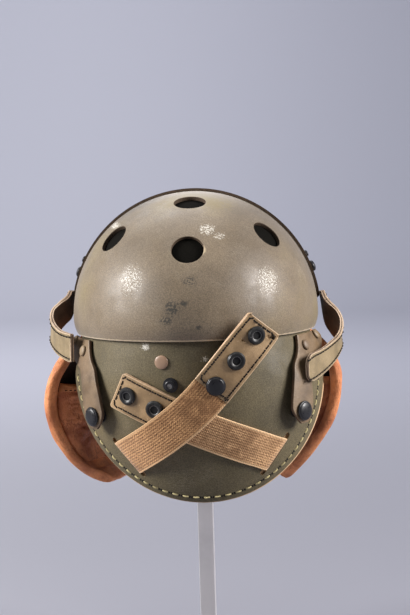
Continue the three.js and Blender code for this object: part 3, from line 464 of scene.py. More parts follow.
PALE_SCUFF_AND_GLINT = (0.60, 0.57, 0.50, 1)
SOOT = (0.045, 0.040, 0.031, 1)
OCHRE = (0.165, 0.120, 0.038, 1)
RUBBED = (0.50, 0.39, 0.25, 1)
SCRATCHED = (0.42, 0.36, 0.27, 1)
RIM_WEAR = 0.0012
RIM_RAGGED = 0.0011
RIM_SOFT = 0.0004
MARK_DEPTH = 0.03
MARK_COLUMNS = ("across", "rise", "wide", "high", "grit", "cover", "tone")
CROWN_MARKS = (
    (0.0150, 0.085, 0.013, 0.008, 750, 0.56, PALE_SCUFF_AND_GLINT),
    (0.0250, 0.080, 0.009, 0.005, 700, 0.5, PALE_SCUFF_AND_GLINT),
    (-0.0620, 0.088, 0.014, 0.005, 700, 0.62, PALE_SCUFF_AND_GLINT),
    # The next two marks are painted highlight: pale specks on the crown's two rear shoulders, where the side
    # lights shine.
    (-0.0450, 0.048, 0.022, 0.026, 900, 0.45, PALE_SCUFF_AND_GLINT),
    (0.0620, 0.044, 0.022, 0.026, 900, 0.45, PALE_SCUFF_AND_GLINT),
    (-0.0121, 0.026, 0.013, 0.012, 520, 0.62, SOOT),
    (-0.0030, 0.030, 0.005, 0.004, 600, 0.9, SOOT),
    (-0.0170, 0.017, 0.010, 0.006, 700, 0.7, SOOT),
    (0.0084, 0.011, 0.004, 0.003, 700, 0.9, SOOT),
    (0.0020, 0.047, 0.014, 0.008, 900, 0.5, SOOT),
    (0.0050, 0.107, 0.055, 0.018, 260, 0.9, OCHRE),
    (0.0126, 0.070, 0.0026, 0.0042, 300, 1.3, RUBBED),
)
GUARD_MARKS = (
    (-0.0350, -0.004, 0.006, 0.005, 900, 0.8, PALE_SCUFF_AND_GLINT),
    (0.0120, -0.014, 0.008, 0.005, 900, 0.55, PALE_SCUFF_AND_GLINT),
)
olive_paint = worn_paint("olive_paint", (0.180, 0.136, 0.086, 1), (0.140, 0.107, 0.071, 1),
                         (0.200, 0.152, 0.072, 1), CROWN_MARKS, 0.32, 0.47, RIM_WEAR, 0.26)
brown_fibre = bare_fibre("brown_fibre", (0.078, 0.050, 0.029, 1), (0.028, 0.018, 0.011, 1))


def vent_tool(bearing, rise, outset):
    """A punch with a flared mouth, whose walls leave the fibre brown."""
    place = crown_point(bearing, SKIRT_HEIGHT + DOME_HEIGHT * rise, 0)
    radius = VENT_DIAMETER / 2
    mouth = outset - radius ** 2 / CROWN_WIDTH
    flare = [(radius + out * VENT_LIP, mouth + up * VENT_LIP)
             for out, up in ((0, -1), (0.3, -0.3), (1, 0), (2.5, 2))]
    vertices, faces = lathe([(0, -PUNCH_REACH), (radius, -PUNCH_REACH), *flare, (0, PUNCH_REACH)])
    return new_mesh("vent_tool", turned_to(vertices, place, crown_normal(place)), faces, [brown_fibre])


def punch_vents(piece, outset, sides=("rear", "front")):
    for bearing, rise in zip(np.radians(VENT_BEARINGS), VENT_RISES):
        for side in sides:
            cut(piece, vent_tool(bearing if side == "rear" else np.pi - bearing, rise, outset))


crown = new_mesh("crown_shell", *dome_shell(0, CROWN_WALL), [olive_paint, brown_fibre])
punch_vents(crown, 0)
stands_for(crown, "crown", slot="olive_fibre")

# Felt lining
# A thin felt lining is glued inside the crown and closes the vents from behind. Its near-black colour is
# painted shade, so that the vents look dark inside. The hole in its middle leaves room for the stand's rest.
FELT_INSET = CROWN_WALL + 0.0003
FELT_THICKNESS = 0.002
FELT_HOLE = 0.024
FELT_LOW = 0.36

climb = np.linspace(np.arcsin(FELT_LOW), np.arccos(FELT_HOLE / (CROWN_WIDTH / 2)), 36)
pairs = []
for inset, angles in ((FELT_INSET, climb), (FELT_INSET + FELT_THICKNESS, climb[::-1])):
    pairs += [(inset, SKIRT_HEIGHT + (DOME_HEIGHT - inset) * np.sin(angle)) for angle in angles]
around = 120
rings = [crown_point(full_turn(around), rise, inset) for inset, rise in pairs]
felt_faces = []
for ring in range(len(pairs)):
    here, there = ring * around, (ring + 1) % len(pairs) * around
    for k in range(around):
        after = (k + 1) % around
        felt_faces.append((here + k, here + after, there + after, there + k))
felt_with_painted_shade = bare_fibre("felt_with_painted_shade", (0.006, 0.005, 0.004, 1), (0.003, 0.003, 0.002, 1), 0.05)
felt = new_mesh("felt_lining", np.concatenate(rings) + HELMET, felt_faces, [felt_with_painted_shade])
turn_outwards(felt)
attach(felt, "root")

# Front layer
# A second layer of fibre, 2.2 mm thick, is laid over the front half. Its rear edge runs from ear to ear over
# the top and shows as a thin brown line. Its lower corners are rounded, and the same vents go through it.
BROW_GAP = 0.0003
BROW_WALL = 0.0022
BROW_EDGE_SETBACK = 0.005
BROW_SIDE_LEVEL = 0.023
BROW_CORNER = 0.014
BROW_FRONT_LEVEL = 0.004
BROW_OUTSET = BROW_GAP + BROW_WALL


def prism(name, outline, ends, spin, material):
    """A closed solid of an outline between two ends. Spin turns the outline's two axes and its depth."""
    flat = np.array([(a, b, end) for end in ends for a, b in outline])
    count = len(outline)
    faces = [tuple(range(count)), tuple(range(2 * count - 1, count - 1, -1))]
    faces += [(k, count + k, count + (k + 1) % count, (k + 1) % count) for k in range(count)]
    solid = new_mesh(name, spin(flat) + HELMET, faces, [material])
    turn_outwards(solid)
    return solid


far = CROWN_LENGTH
ceiling = SKIRT_HEIGHT + DOME_HEIGHT + far
arc = np.linspace(np.pi, 1.5 * np.pi, 16)
brow_outline = [(BROW_EDGE_SETBACK, ceiling)]
brow_outline += [(BROW_EDGE_SETBACK + BROW_CORNER * (1 + np.cos(a)),
                  BROW_SIDE_LEVEL + BROW_CORNER * (1 + np.sin(a))) for a in arc]
brow_outline += [(CROWN_LENGTH / 2, BROW_FRONT_LEVEL), (far, BROW_FRONT_LEVEL), (far, ceiling)]
brow_tool = prism("brow_tool", brow_outline, (-CROWN_WIDTH, CROWN_WIDTH), lambda flat: flat[:, [2, 0, 1]],
                  brown_fibre)
front_layer = new_mesh("front_layer", *dome_shell(-BROW_OUTSET, BROW_WALL), [olive_paint, brown_fibre])
cut(front_layer, brow_tool, "INTERSECT")
punch_vents(front_layer, BROW_OUTSET, ("front",))
stands_for(front_layer, "brow_shell", slot="olive_fibre")

# Front layer's fasteners
# A small rivet and a larger snap hold the rear edge of the front layer at each side. They are pressed steel
# under black enamel, worn to grey on their crowns.
SHELL_SNAP = (0.009, 0.003)
SHELL_RIVET = (0.0054, 0.0016)
SHELL_FASTENERS = {"name": ("shell_rivet", "shell_snap"), "form": (SHELL_RIVET, SHELL_SNAP),
                   "rise": (0.45, 0.345), "behind": (0.9, 1.1)}
FASTENER_GAP = 0.0002
HEAD_STEPS = 40
SIDES = {"left": -1, "right": 1}


def enamelled(name, colour, bright, roughness, show=0.66):
    """Black enamel over pressed steel, rubbed to bare metal in specks."""
    material, node, shader = new_material(name, Specular_IOR_Level=0.32, Coat_Weight=0.1, Coat_Roughness=0.2)
    spot = spot_in(node)
    skin = use(node, grain, Scale=1500.0, Depth=0.00006, Strength=0.4, Pebble=0.5)
    rubbed = ranged(node, noise(node, spot, 520.0, 6.0, 0.7), show, show + 0.06)
    link(times(node, rubbed, 0.8), shader["Metallic"])
    tone = blended(node, rubbed, colour, bright)
    finish(shader, tone, uneven(node, spot, 300.0, roughness - 0.08, roughness + 0.14), skin["Normal"])
    return material


def domed_head(diameter, height, steps=10):
    """Profile of a pressed head: a rolled edge under a low dome."""
    radius = diameter / 2
    edge = 0.3 * height
    dome = [(radius * np.cos(t) ** 0.85, edge + (height - edge) * np.sin(t))
            for t in np.linspace(0, np.pi / 2, steps)[:-1]]
    return [(0, 0), (radius - 0.3 * edge, 0), (radius, 0.4 * edge), *dome, (0, height)]


def fitted(name, profile, place, out, rest, materials, node_name, slot="black_enamel", bands=()):
    """A turned fastener, at rest off a place of the helmet. The next material begins inside each band."""
    vertices, faces = lathe(profile, HEAD_STEPS)
    piece = new_mesh(name, turned_to(vertices + [0, 0, rest], place, out), faces, materials)
    for polygon, face in zip(piece.data.polygons, faces):
        middle = vertices[list(face)].mean(0)
        polygon.material_index = sum(np.hypot(middle[0], middle[1]) < radius for radius in bands)
    stands_for(piece, node_name, slot=slot)


black_enamel = enamelled("black_enamel", (0.012, 0.012, 0.014, 1), (0.16, 0.15, 0.15, 1), 0.34)
for side, sign in SIDES.items():
    for name, form, rise, behind in zip(*SHELL_FASTENERS.values()):
        ahead = BROW_EDGE_SETBACK + form[0] * behind
        reach = (CROWN_LENGTH / 2 + BROW_OUTSET) * np.sqrt(1 - rise ** 2)
        bearing = sign * (np.pi / 2 + np.arcsin(ahead / reach))
        place = crown_point(bearing, SKIRT_HEIGHT + (DOME_HEIGHT + BROW_OUTSET) * rise, -BROW_OUTSET)
        fitted(f"{name}_head_{side}", domed_head(*form), place, crown_normal(place), FASTENER_GAP,
               [black_enamel], f"{name}_{side}")

# Neck guard
# A curved guard of the same painted fibre hangs inside the rear rim, and a thin tan lining is sewn to it
# along its rounded outline. Two slanted slots let the straps out. Its cut edge shows the bare fibre.
GUARD_DROP = 0.130
GUARD_TUCK_UNDER = 0.010
GUARD_CLEARANCE = 0.0007
GUARD_FLARE = 0.0103
GUARD_CURVE_IN = 0.027
GUARD_SWAY = 0.008
GUARD_WALL = 0.0026
GUARD_SIDE_BEARING = np.radians(84)
GUARD_OUTLINE_RADIUS = 0.101
GUARD_OUTLINE_TOP = 0.094
GUARD_SPARE = 1.03
GUARD_ROWS = 96
GUARD_COLUMNS = 150
LINING_GAP = 0.0003
LINING_WALL = 0.0012
LINING_OVERHANG = 0.001
SLOT_SPREAD = 0.1168
SLOT_LEVEL = -0.094
SLOT_LENGTH = 0.040
SLOT_WIDTH = 0.0042
LINING_SLOT = 0.0316
SLOT_SLANT = np.radians(52)
GUARD_SECTIONS = {
    "at": (-0.16, -0.08, 0, 0.12, 0.27, 0.5, 0.69, 0.86, 1.05),
    "flare": (-0.08, -0.04, 0, 0.4, 0.9, 1, 0.8, 0.42, -0.15),
    "tuck": (0.03, 0.02, 0, -0.01, 0.03, 0.18, 0.41, 0.66, 1),
}
GUARD_INSET = SKIRT_DRAW_IN + CROWN_WALL + GUARD_CLEARANCE
GUARD_HALF_WIDTH = CROWN_WIDTH / 2 - GUARD_INSET
GUARD_HALF_LENGTH = CROWN_LENGTH / 2 - GUARD_INSET


def follow(table, column, at):
    """Smooth value of a column of a table whose first column, at, is in order."""
    knots, values = np.array(table["at"], float), np.array(table[column], float)
    last = len(knots) - 1
    after = np.minimum(np.arange(last + 1) + 1, last)
    before = np.maximum(np.arange(last + 1) - 1, 0)
    slopes = (values[after] - values[before]) / (knots[after] - knots[before])
    at = np.asarray(at, float)
    k = np.clip(np.searchsorted(knots, at) - 1, 0, last - 1)
    span = knots[k + 1] - knots[k]
    t = np.clip((at - knots[k]) / span, 0, 1)
    rise, fall, swing = slopes[k] * span, slopes[k + 1] * span, values[k + 1] - values[k]
    return values[k] + t * (rise + t * (3 * swing - 2 * rise - fall + t * (rise + fall - 2 * swing)))


def normal_of(surface, u, v, reach=0.002):
    """Unit normals of a surface, on the side from which u runs right and v runs down."""
    along = surface(u + reach, v) - surface(u - reach, v)
    down = surface(u, v + reach) - surface(u, v - reach)
    out = np.cross(down, along)
    return out / np.linalg.norm(out, axis=-1, keepdims=True)


def wall(surface, columns, rows, outer, inner, size=(1.0, 1.0)):
    """Vertices, faces and lay of a closed wall between two lifts off a surface. Size is that of the lay."""
    v, u = np.meshgrid(rows, columns, indexing="ij")
    middle, out = surface(u, v), normal_of(surface, u, v)
    layers = []
    for lift in (outer, inner):
        height = lift(u, v) if callable(lift) else np.full(u.shape, float(lift))
        layers.append((middle + out * height[..., None]).reshape(-1, 3))
    across, down = len(columns), len(rows)
    layer = across * down
    faces = []
    for row in range(down - 1):
        for column in range(across - 1):
            a = row * across + column
            faces.append((a, a + across, a + across + 1, a + 1))
            faces.append((layer + a, layer + a + 1, layer + a + across + 1, layer + a + across))
    border = list(range(across - 1)) + [k * across + across - 1 for k in range(down - 1)]
    border += [(down - 1) * across + k for k in range(across - 1, 0, -1)]
    border += [k * across for k in range(down - 1, 0, -1)]
    for a, b in zip(border, border[1:] + border[:1]):
        faces.append((a, b, layer + b, layer + a))
    lay = np.stack([u * size[0], v * size[1]], -1).reshape(-1, 2)
    return np.concatenate(layers) + HELMET, faces, np.concatenate([lay, lay])


def guard_half_width(level):
    return GUARD_HALF_WIDTH + GUARD_FLARE * follow(GUARD_SECTIONS, "flare", -level / GUARD_DROP)


def guard_sway(level):
    return GUARD_SWAY * np.maximum(0, -level / GUARD_DROP)


def guard_point(bearing, level):
    half_length = GUARD_HALF_LENGTH - GUARD_CURVE_IN * follow(GUARD_SECTIONS, "tuck", -level / GUARD_DROP)
    across = np.sin(bearing) * guard_half_width(level) + guard_sway(level)
    return np.stack(np.broadcast_arrays(across, -np.cos(bearing) * half_length, level), -1)


def guard_at(across, depth):
    """The guard's surface by distance across and depth under the rim."""
    share = np.clip(across / guard_half_width(-depth), -0.9999, 0.9999)
    return guard_point(np.arcsin(share), -depth)


def on_guard(across, level):
    """A place on the guard and the direction out of it there."""
    across, depth = np.asarray(across, float), -np.asarray(level, float)
    return guard_at(across, depth), normal_of(guard_at, across, depth, 0.00002)


def guard_outline(grow):
    """The guard's outline from behind, as pairs of distance across and level."""
    radius = GUARD_OUTLINE_RADIUS + grow
    turn = np.linspace(0, -np.pi, 121)
    level = GUARD_OUTLINE_RADIUS - GUARD_DROP + radius * np.sin(turn)
    across = radius * np.cos(turn) + guard_sway(level)
    top = GUARD_OUTLINE_TOP + grow
    return [(top, 2 * GUARD_TUCK_UNDER), *zip(across, level), (-top, 2 * GUARD_TUCK_UNDER)]


def slot_tool(sign, length, material):
    """A punch with round ends, laid along the slot in the guard."""
    place, out = on_guard(sign * SLOT_SPREAD / 2, SLOT_LEVEL)
    step = 0.001 * np.array([sign * np.cos(SLOT_SLANT), np.sin(SLOT_SLANT)])
    ahead = guard_at(sign * SLOT_SPREAD / 2 + step[0], -SLOT_LEVEL - step[1])
    behind = guard_at(sign * SLOT_SPREAD / 2 - step[0], -SLOT_LEVEL + step[1])
    long = (ahead - behind) / np.linalg.norm(ahead - behind)
    wide = np.cross(out, long)
    radius = SLOT_WIDTH / 2
    turn = np.linspace(-np.pi / 2, np.pi / 2, 9)
    reach = length / 2 - radius
    outline = [(reach + radius * np.cos(t), radius * np.sin(t)) for t in turn]
    outline += [(-reach - radius * np.cos(t), -radius * np.sin(t)) for t in turn]
    axes = np.array([long, wide, out])
    ends = (-PUNCH_REACH, PUNCH_REACH)
    return prism("slot_tool", outline, ends, lambda flat: flat @ axes + place, material)


def guard_layer(name, depth, thickness, grow, slot_length, materials, edge):
    """One layer of the guard, trimmed to its outline, with its slots cut."""
    def surface(u, v):
        return guard_point(GUARD_SIDE_BEARING * (2 * u - 1), -GUARD_DROP * v)

    rows = np.linspace(-GUARD_TUCK_UNDER / GUARD_DROP, GUARD_SPARE, GUARD_ROWS)
    vertices, faces, _ = wall(surface, np.linspace(0, 1, GUARD_COLUMNS), rows, -depth, -depth - thickness)
    layer = new_mesh(name, vertices, faces, materials)
    trim = prism("trim", guard_outline(grow), (0, -CROWN_LENGTH), lambda flat: flat[:, [0, 2, 1]], edge)
    cut(layer, trim, "INTERSECT")
    for sign in SIDES.values():
        cut(layer, slot_tool(sign, slot_length, edge))
    return layer


def lining_leather(name, colour, dark):
    """Thin matt leather, soiled in patches."""
    material, node, shader = new_material(name, Specular_IOR_Level=0.35)
    hide = use(node, grain, Scale=800.0, Depth=0.0002, Strength=0.4, Pebble=0.9)
    tone = patchy(node, spot_in(node), colour, dark, 30.0, 0.42, 0.7, 5.0)
    finish(shader, tone, ranged(node, hide["Mottle"], 0.3, 0.7, 0.7, 0.9), hide["Normal"])
    return material


guard_paint = worn_paint("guard_paint", (0.122, 0.098, 0.052, 1), (0.086, 0.070, 0.039, 1),
                         (0.146, 0.110, 0.054, 1), GUARD_MARKS, 0.36, 0.58)
lining = lining_leather("tan_lining", (0.56, 0.38, 0.22, 1), (0.40, 0.25, 0.13, 1))
guard_edge = bare_fibre("guard_edge", (0.30, 0.22, 0.12, 1), (0.14, 0.10, 0.055, 1))
guard = guard_layer("guard", 0, GUARD_WALL, 0, SLOT_LENGTH, [guard_paint, guard_edge], guard_edge)
stands_for(guard, "neck_guard", slot="olive_fibre")
guard_lining = guard_layer("guard_lining", GUARD_WALL + LINING_GAP, LINING_WALL, LINING_OVERHANG,
                           LINING_SLOT, [lining], lining)
stands_for(guard_lining, "neck_guard_lining", slot="tan_lining")

# Guard's rivets and studs
# Two painted steel rivets sit in the guard near the rim. Below them are two black snap studs for the straps'
# caps: the right one is under the upper strap, the left one stands free.
CLEARANCE = 0.0003
GUARD_RIVET = (0.011, 0.0018)
RIVET_SPREAD = 0.046
RIVET_LEVEL = -0.016
SNAP_STUD = (0.012, 0.0038, 0.008)
STUD_SPREAD = 0.035
STUD_LEVEL = -0.034
STUD_DIMPLE = 0.0018


def snap_stud(diameter, height, post):
    """Profile of a stud: a flange, a waist, a rolled head and a dimple in its top."""
    flange, neck = diameter / 2, post / 2
    return [(0, 0), (flange - 0.0002, 0), (flange, 0.12 * height), (flange - 0.0002, 0.24 * height),
            (neck + 0.0006, 0.3 * height), (0.82 * neck, 0.42 * height), (0.84 * neck, 0.58 * height),
            (0.98 * neck, 0.72 * height), (neck, 0.84 * height), (0.9 * neck, 0.96 * height),
            (0.74 * neck, height), (STUD_DIMPLE, 0.94 * height), (0.8 * STUD_DIMPLE, 0.5 * height),
            (0, 0.46 * height)]


rivet_paint = painted_metal("rivet_paint", (0.29, 0.185, 0.12, 1), (0.22, 0.14, 0.09, 1), 0.42)
rubbed_steel = enamelled("rubbed_steel", (0.30, 0.29, 0.28, 1), (0.5, 0.48, 0.46, 1), 0.3, 0.5)
for side, sign in SIDES.items():
    place, out = on_guard(sign * RIVET_SPREAD / 2, RIVET_LEVEL)
    fitted(f"rivet_{side}", domed_head(*GUARD_RIVET), place, out, CLEARANCE, [rivet_paint],
           f"guard_rivet_{side}", "painted_rivet")
    place, out = on_guard(sign * STUD_SPREAD / 2, STUD_LEVEL)
    fitted(f"stud_{side}", snap_stud(*SNAP_STUD), place, out, CLEARANCE, [black_enamel, rubbed_steel],
           f"guard_stud_{side}", bands=(STUD_DIMPLE,))

# Guard's stitching
# One row of thick pale thread is sewn close to the guard's edge, in long stitches with a needle hole at each
# end. Each needle hole is a near-black disc of painted shade. The same way of sewing, with other sizes, is
# used on the straps and loops further on.
THREAD_INSET = 0.004
GUARD_SEAM = {"Pitch": 0.0083, "Length": 0.0062, "Thickness": 0.0013}
STITCHED_UP_TO = -0.004
STITCH_START = 0.06
STITCH_SWAY = 0.04
STITCH_SEED = 3


def stitch_tree():
    """Geometry nodes that lay stitches along a path, whose points know the direction out of the surface."""
    tree = bpy.data.node_groups.new("Stitches", "GeometryNodeTree")
    tree.interface.new_socket("Geometry", in_out="INPUT", socket_type="NodeSocketGeometry")
    for label, kind in (("Pitch", "Float"), ("Length", "Float"), ("Thickness", "Float"), ("Sway", "Float"),
                        ("Seed", "Int"), ("Thread", "Material"), ("Hole", "Material")):
        tree.interface.new_socket(label, in_out="INPUT", socket_type=f"NodeSocket{kind}")
    tree.interface.new_socket("Geometry", in_out="OUTPUT", socket_type="NodeSocketGeometry")
    node = nodes_in(tree)
    given = node("NodeGroupInput").outputs
    path = node("GeometryNodeMeshToCurve", {"Mesh": given["Geometry"]}).outputs["Curve"]
    stations = node("GeometryNodeResampleCurve", {"Curve": path, "Length": given["Pitch"]}, mode="LENGTH")
    tangent = node("GeometryNodeInputTangent").outputs["Tangent"]
    out = node("GeometryNodeInputNamedAttribute", {"Name": "out"}, data_type="FLOAT_VECTOR").outputs[0]
    facing = node("FunctionNodeAxesToRotation", {"Primary Axis": out, "Secondary Axis": tangent},
                  primary_axis="Z", secondary_axis="X").outputs["Rotation"]
    sway = times(node, given["Sway"], -1.0)
    turn = node("FunctionNodeRandomValue", {2: sway, 3: given["Sway"], "Seed": given["Seed"]},
                data_type="FLOAT").outputs[1]
    spin = node("FunctionNodeAxisAngleToRotation", {"Axis": (0, 0, 1), "Angle": turn}).outputs["Rotation"]
    swayed = node("FunctionNodeRotateRotation", {"Rotation": facing, "Rotate By": spin},
                  rotation_space="LOCAL").outputs[0]
    half = times(node, given["Length"], 0.5)
    back = times(node, half, -1.0)
    dip = times(node, given["Thickness"], -0.8)
    crest = times(node, given["Thickness"], 1.5)
    ends = [node("ShaderNodeCombineXYZ", {"X": x, "Z": z}).outputs[0] for x, z in
            ((back, dip), (0.0, crest), (half, dip))]
    bow = node("GeometryNodeCurveQuadraticBezier",
               {"Start": ends[0], "Middle": ends[1], "End": ends[2], "Resolution": 7}).outputs["Curve"]
    radius = times(node, given["Thickness"], 0.5)
    ring = node("GeometryNodeCurvePrimitiveCircle", {"Resolution": 7, "Radius": radius}).outputs["Curve"]
    thread = node("GeometryNodeCurveToMesh",
                  {"Curve": bow, "Profile Curve": ring, "Fill Caps": True}).outputs[0]
    # Near-black discs at both ends of each stitch: painted shade of the needle holes.
    hole = node("GeometryNodeMeshCylinder",
                {"Vertices": 8, "Radius": times(node, radius, 1.5), "Depth": times(node, radius, 0.5)},
                fill_type="NGON").outputs["Mesh"]
    holes = node("GeometryNodeJoinGeometry")
    for where in (back, half):
        shift = node("ShaderNodeCombineXYZ", {"X": where}).outputs[0]
        moved = node("GeometryNodeTransform", {"Geometry": hole, "Translation": shift}).outputs[0]
        tree.links.new(moved, holes.inputs[0])
    rows = node("GeometryNodeJoinGeometry")
    for shape, material in ((holes.outputs[0], given["Hole"]), (thread, given["Thread"])):
        laid = node("GeometryNodeInstanceOnPoints", {"Points": stations.outputs[0], "Instance": shape,
                                                     "Rotation": swayed}).outputs[0]
        plain = node("GeometryNodeRealizeInstances", {"Geometry": laid}).outputs[0]
        coloured = node("GeometryNodeSetMaterial", {"Geometry": plain, "Material": material}).outputs[0]
        tree.links.new(coloured, rows.inputs[0])
    tree.links.new(rows.outputs[0], node("NodeGroupOutput").inputs[0])
    return tree


STITCHES = stitch_tree()


def sewn(name, places, outs, sizes, thread):
    """A row of stitches along places of the helmet, as a plain mesh that rides on the body."""
    mesh = bpy.data.meshes.new(name)
    mesh.from_pydata((np.asarray(places) + HELMET).tolist(), [(k, k + 1) for k in range(len(places) - 1)], [])
    facing = mesh.attributes.new("out", "FLOAT_VECTOR", "POINT")
    facing.data.foreach_set("vector", np.asarray(outs, np.float32).ravel())
    row = bpy.data.objects.new(name, mesh)
    bpy.context.scene.collection.objects.link(row)
    sewing = row.modifiers.new("sewing", "NODES")
    sewing.node_group = STITCHES
    values = {**sizes, "Sway": STITCH_SWAY, "Seed": STITCH_SEED, "Thread": thread, "Hole": needle_hole_shade}
    for item in STITCHES.interface.items_tree:
        if item.in_out == "INPUT" and item.name in values:
            sewing[item.identifier] = values[item.name]
    settle(row)
    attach(row, "root")


def thread_finish(name, colour, dirty):
    """Twisted linen thread, soiled in places."""
    material, node, shader = new_material(name, Roughness=0.85, Specular_IOR_Level=0.25)
    twist = use(node, grain, Scale=2600.0, Depth=0.0002, Strength=0.6, Pebble=0.4)
    link(patchy(node, spot_in(node), colour, dirty, 90.0, 0.45, 0.62), shader["Base Color"])
    link(twist["Normal"], shader["Normal"])
    return material


pale_thread = thread_finish("pale_thread", (0.50, 0.43, 0.22, 1), (0.34, 0.29, 0.15, 1))
# The needle holes' near-black colour is painted shade.
needle_hole_shade = thread_finish("needle_hole_shade", (0.014, 0.012, 0.010, 1), (0.010, 0.009, 0.008, 1))
turn = np.linspace(STITCH_START, np.pi - STITCH_START, 160)
sewn_radius = GUARD_OUTLINE_RADIUS - THREAD_INSET
sewn_level = GUARD_OUTLINE_RADIUS - GUARD_DROP - sewn_radius * np.sin(turn)
places, outs = on_guard(-sewn_radius * np.cos(turn), sewn_level)
below_rim = places[:, 2] < STITCHED_UP_TO
sewn("guard_stitching", places[below_rim], outs[below_rim], GUARD_SEAM, pale_thread)

# Crossing straps
# Two bands of elastic webbing come out of the slots and cross behind the head: the one from the left slot
# lies on top. Each ends at a tab of two layers of leather, sewn with dark thread round the edge.
STRAP_WIDTH = 0.030
WEBBING_THICKNESS = 0.002
TAB_THICKNESS = 0.004
TAB_LAYER_GAP = 0.0002
TAB_CORNER = 0.0022
TAB_SEAM_INSET = 0.0028
SNAP_PITCH = 0.0254
TAB_LEAD = 0.006
TAB_LENGTH = 0.068
WEBBING_TAIL = 0.009
CORD_PITCH = 0.0021
PICK_PITCH = 0.0018
RUBBED_BORDER = 0.0006
SLOT_BEND = 0.0024
SNAP_CAP = (0.0155, 0.0032)
SNAP_SOCKET = (0.0146, 0.0024, 0.0064)
TAB_SEAM = {"Pitch": 0.0046, "Length": 0.0027, "Thickness": 0.0011}
WEBBING_REST = CLEARANCE + WEBBING_THICKNESS / 2
TAB_REST = CLEARANCE + TAB_THICKNESS / 2
CROSSING_LIFT = 4 * CLEARANCE + TAB_THICKNESS + SNAP_SOCKET[1] + WEBBING_THICKNESS / 2
STUD_LIFT = 2 * CLEARANCE + SNAP_STUD[1] + TAB_THICKNESS / 2
STRAPS = {
    "upper": {
        "from": -1, "snap": (STUD_SPREAD / 2, STUD_LEVEL), "leave": 33, "turn": 48, "seen": 1,
        "lifts": {"at": (0, 0.3, 0.65, 1), "lift": (WEBBING_REST, CROSSING_LIFT, CROSSING_LIFT, STUD_LIFT)},
        "end_lift": 0.018, "first_snap": 0, "darkened_at": 0.086,
    },
    "lower": {
        "from": 1, "snap": (-0.0106, -0.0624), "leave": 154, "turn": 153, "seen": 0.88,
        "lifts": {"at": (0, 0.5, 0.8, 1), "lift": (WEBBING_REST, WEBBING_REST, WEBBING_REST, TAB_REST)},
        "end_lift": 0.0045, "first_snap": 1, "darkened_at": 0.047,
    },
}


def smoothstep(value, low, high):
    t = np.clip((np.asarray(value, float) - low) / (high - low), 0, 1)
    return t * t * (3 - 2 * t)


def through(points, at):
    """A curve through points, spaced by their distances, at shares from 0 to 1 of the number of spans."""
    points = np.asarray(points, float)
    points = np.concatenate([[2 * points[0] - points[1]], points, [2 * points[-1] - points[-2]]])
    spans = len(points) - 3
    at = np.clip(np.asarray(at, float), 0, 1) * spans
    k = np.minimum(at.astype(int), spans - 1)
    t = (at - k)[..., None]
    a, b, c, d = (points[k + n] for n in range(4))
    step = [np.sqrt(np.linalg.norm(q - p, axis=-1, keepdims=True)) for p, q in ((a, b), (b, c), (c, d))]
    leave = ((b - a) / step[0] - (c - a) / (step[0] + step[1]) + (c - b) / step[1]) * step[1]
    arrive = ((c - b) / step[1] - (d - b) / (step[1] + step[2]) + (d - c) / step[2]) * step[1]
    return b + t * (leave + t * (3 * (c - b) - 2 * leave - arrive + t * (2 * (b - c) + leave + arrive)))


def bezier(corners, t):
    t = np.asarray(t, float)[..., None]
    a, b, c, d = (np.asarray(p) for p in corners)
    return (1 - t) ** 3 * a + 3 * (1 - t) ** 2 * t * b + 3 * (1 - t) * t ** 2 * c + t ** 3 * d


def off_guard(across, level, lift):
    """A place of a strap. What it stands off more than at rest doesn't spread it sideways or up."""
    lift = np.asarray(lift, float)
    out = on_guard(across, level)[1]
    spread = np.maximum(0, lift - TAB_REST)
    place, out = on_guard(across - out[..., 0] * spread, level - out[..., 2] * spread)
    return place + out * lift[..., None]


def heading(degrees):
    return np.array([np.cos(np.radians(degrees)), np.sin(np.radians(degrees))])


def rim_share(v, length, width, corner):
    """How much of a strip's half width is left at v, so that its far end has round corners."""
    over = np.clip(corner - (1 - v) * length, 0, corner)
    return 1 - 2 * (corner - np.sqrt(corner ** 2 - over ** 2)) / width


def soft_lift(half, rounding, width, length):
    """A lift that falls off near the edges of a strip, so that they look rounded."""
    def lift(u, v):
        inset = np.minimum(np.minimum(u, 1 - u) * width, np.minimum(v, 1 - v) * length)
        share = np.clip(inset / rounding, 0, 1)
        return half - rounding * (1 - np.sqrt(1 - (1 - share) ** 2)) * 0.8

    return lift


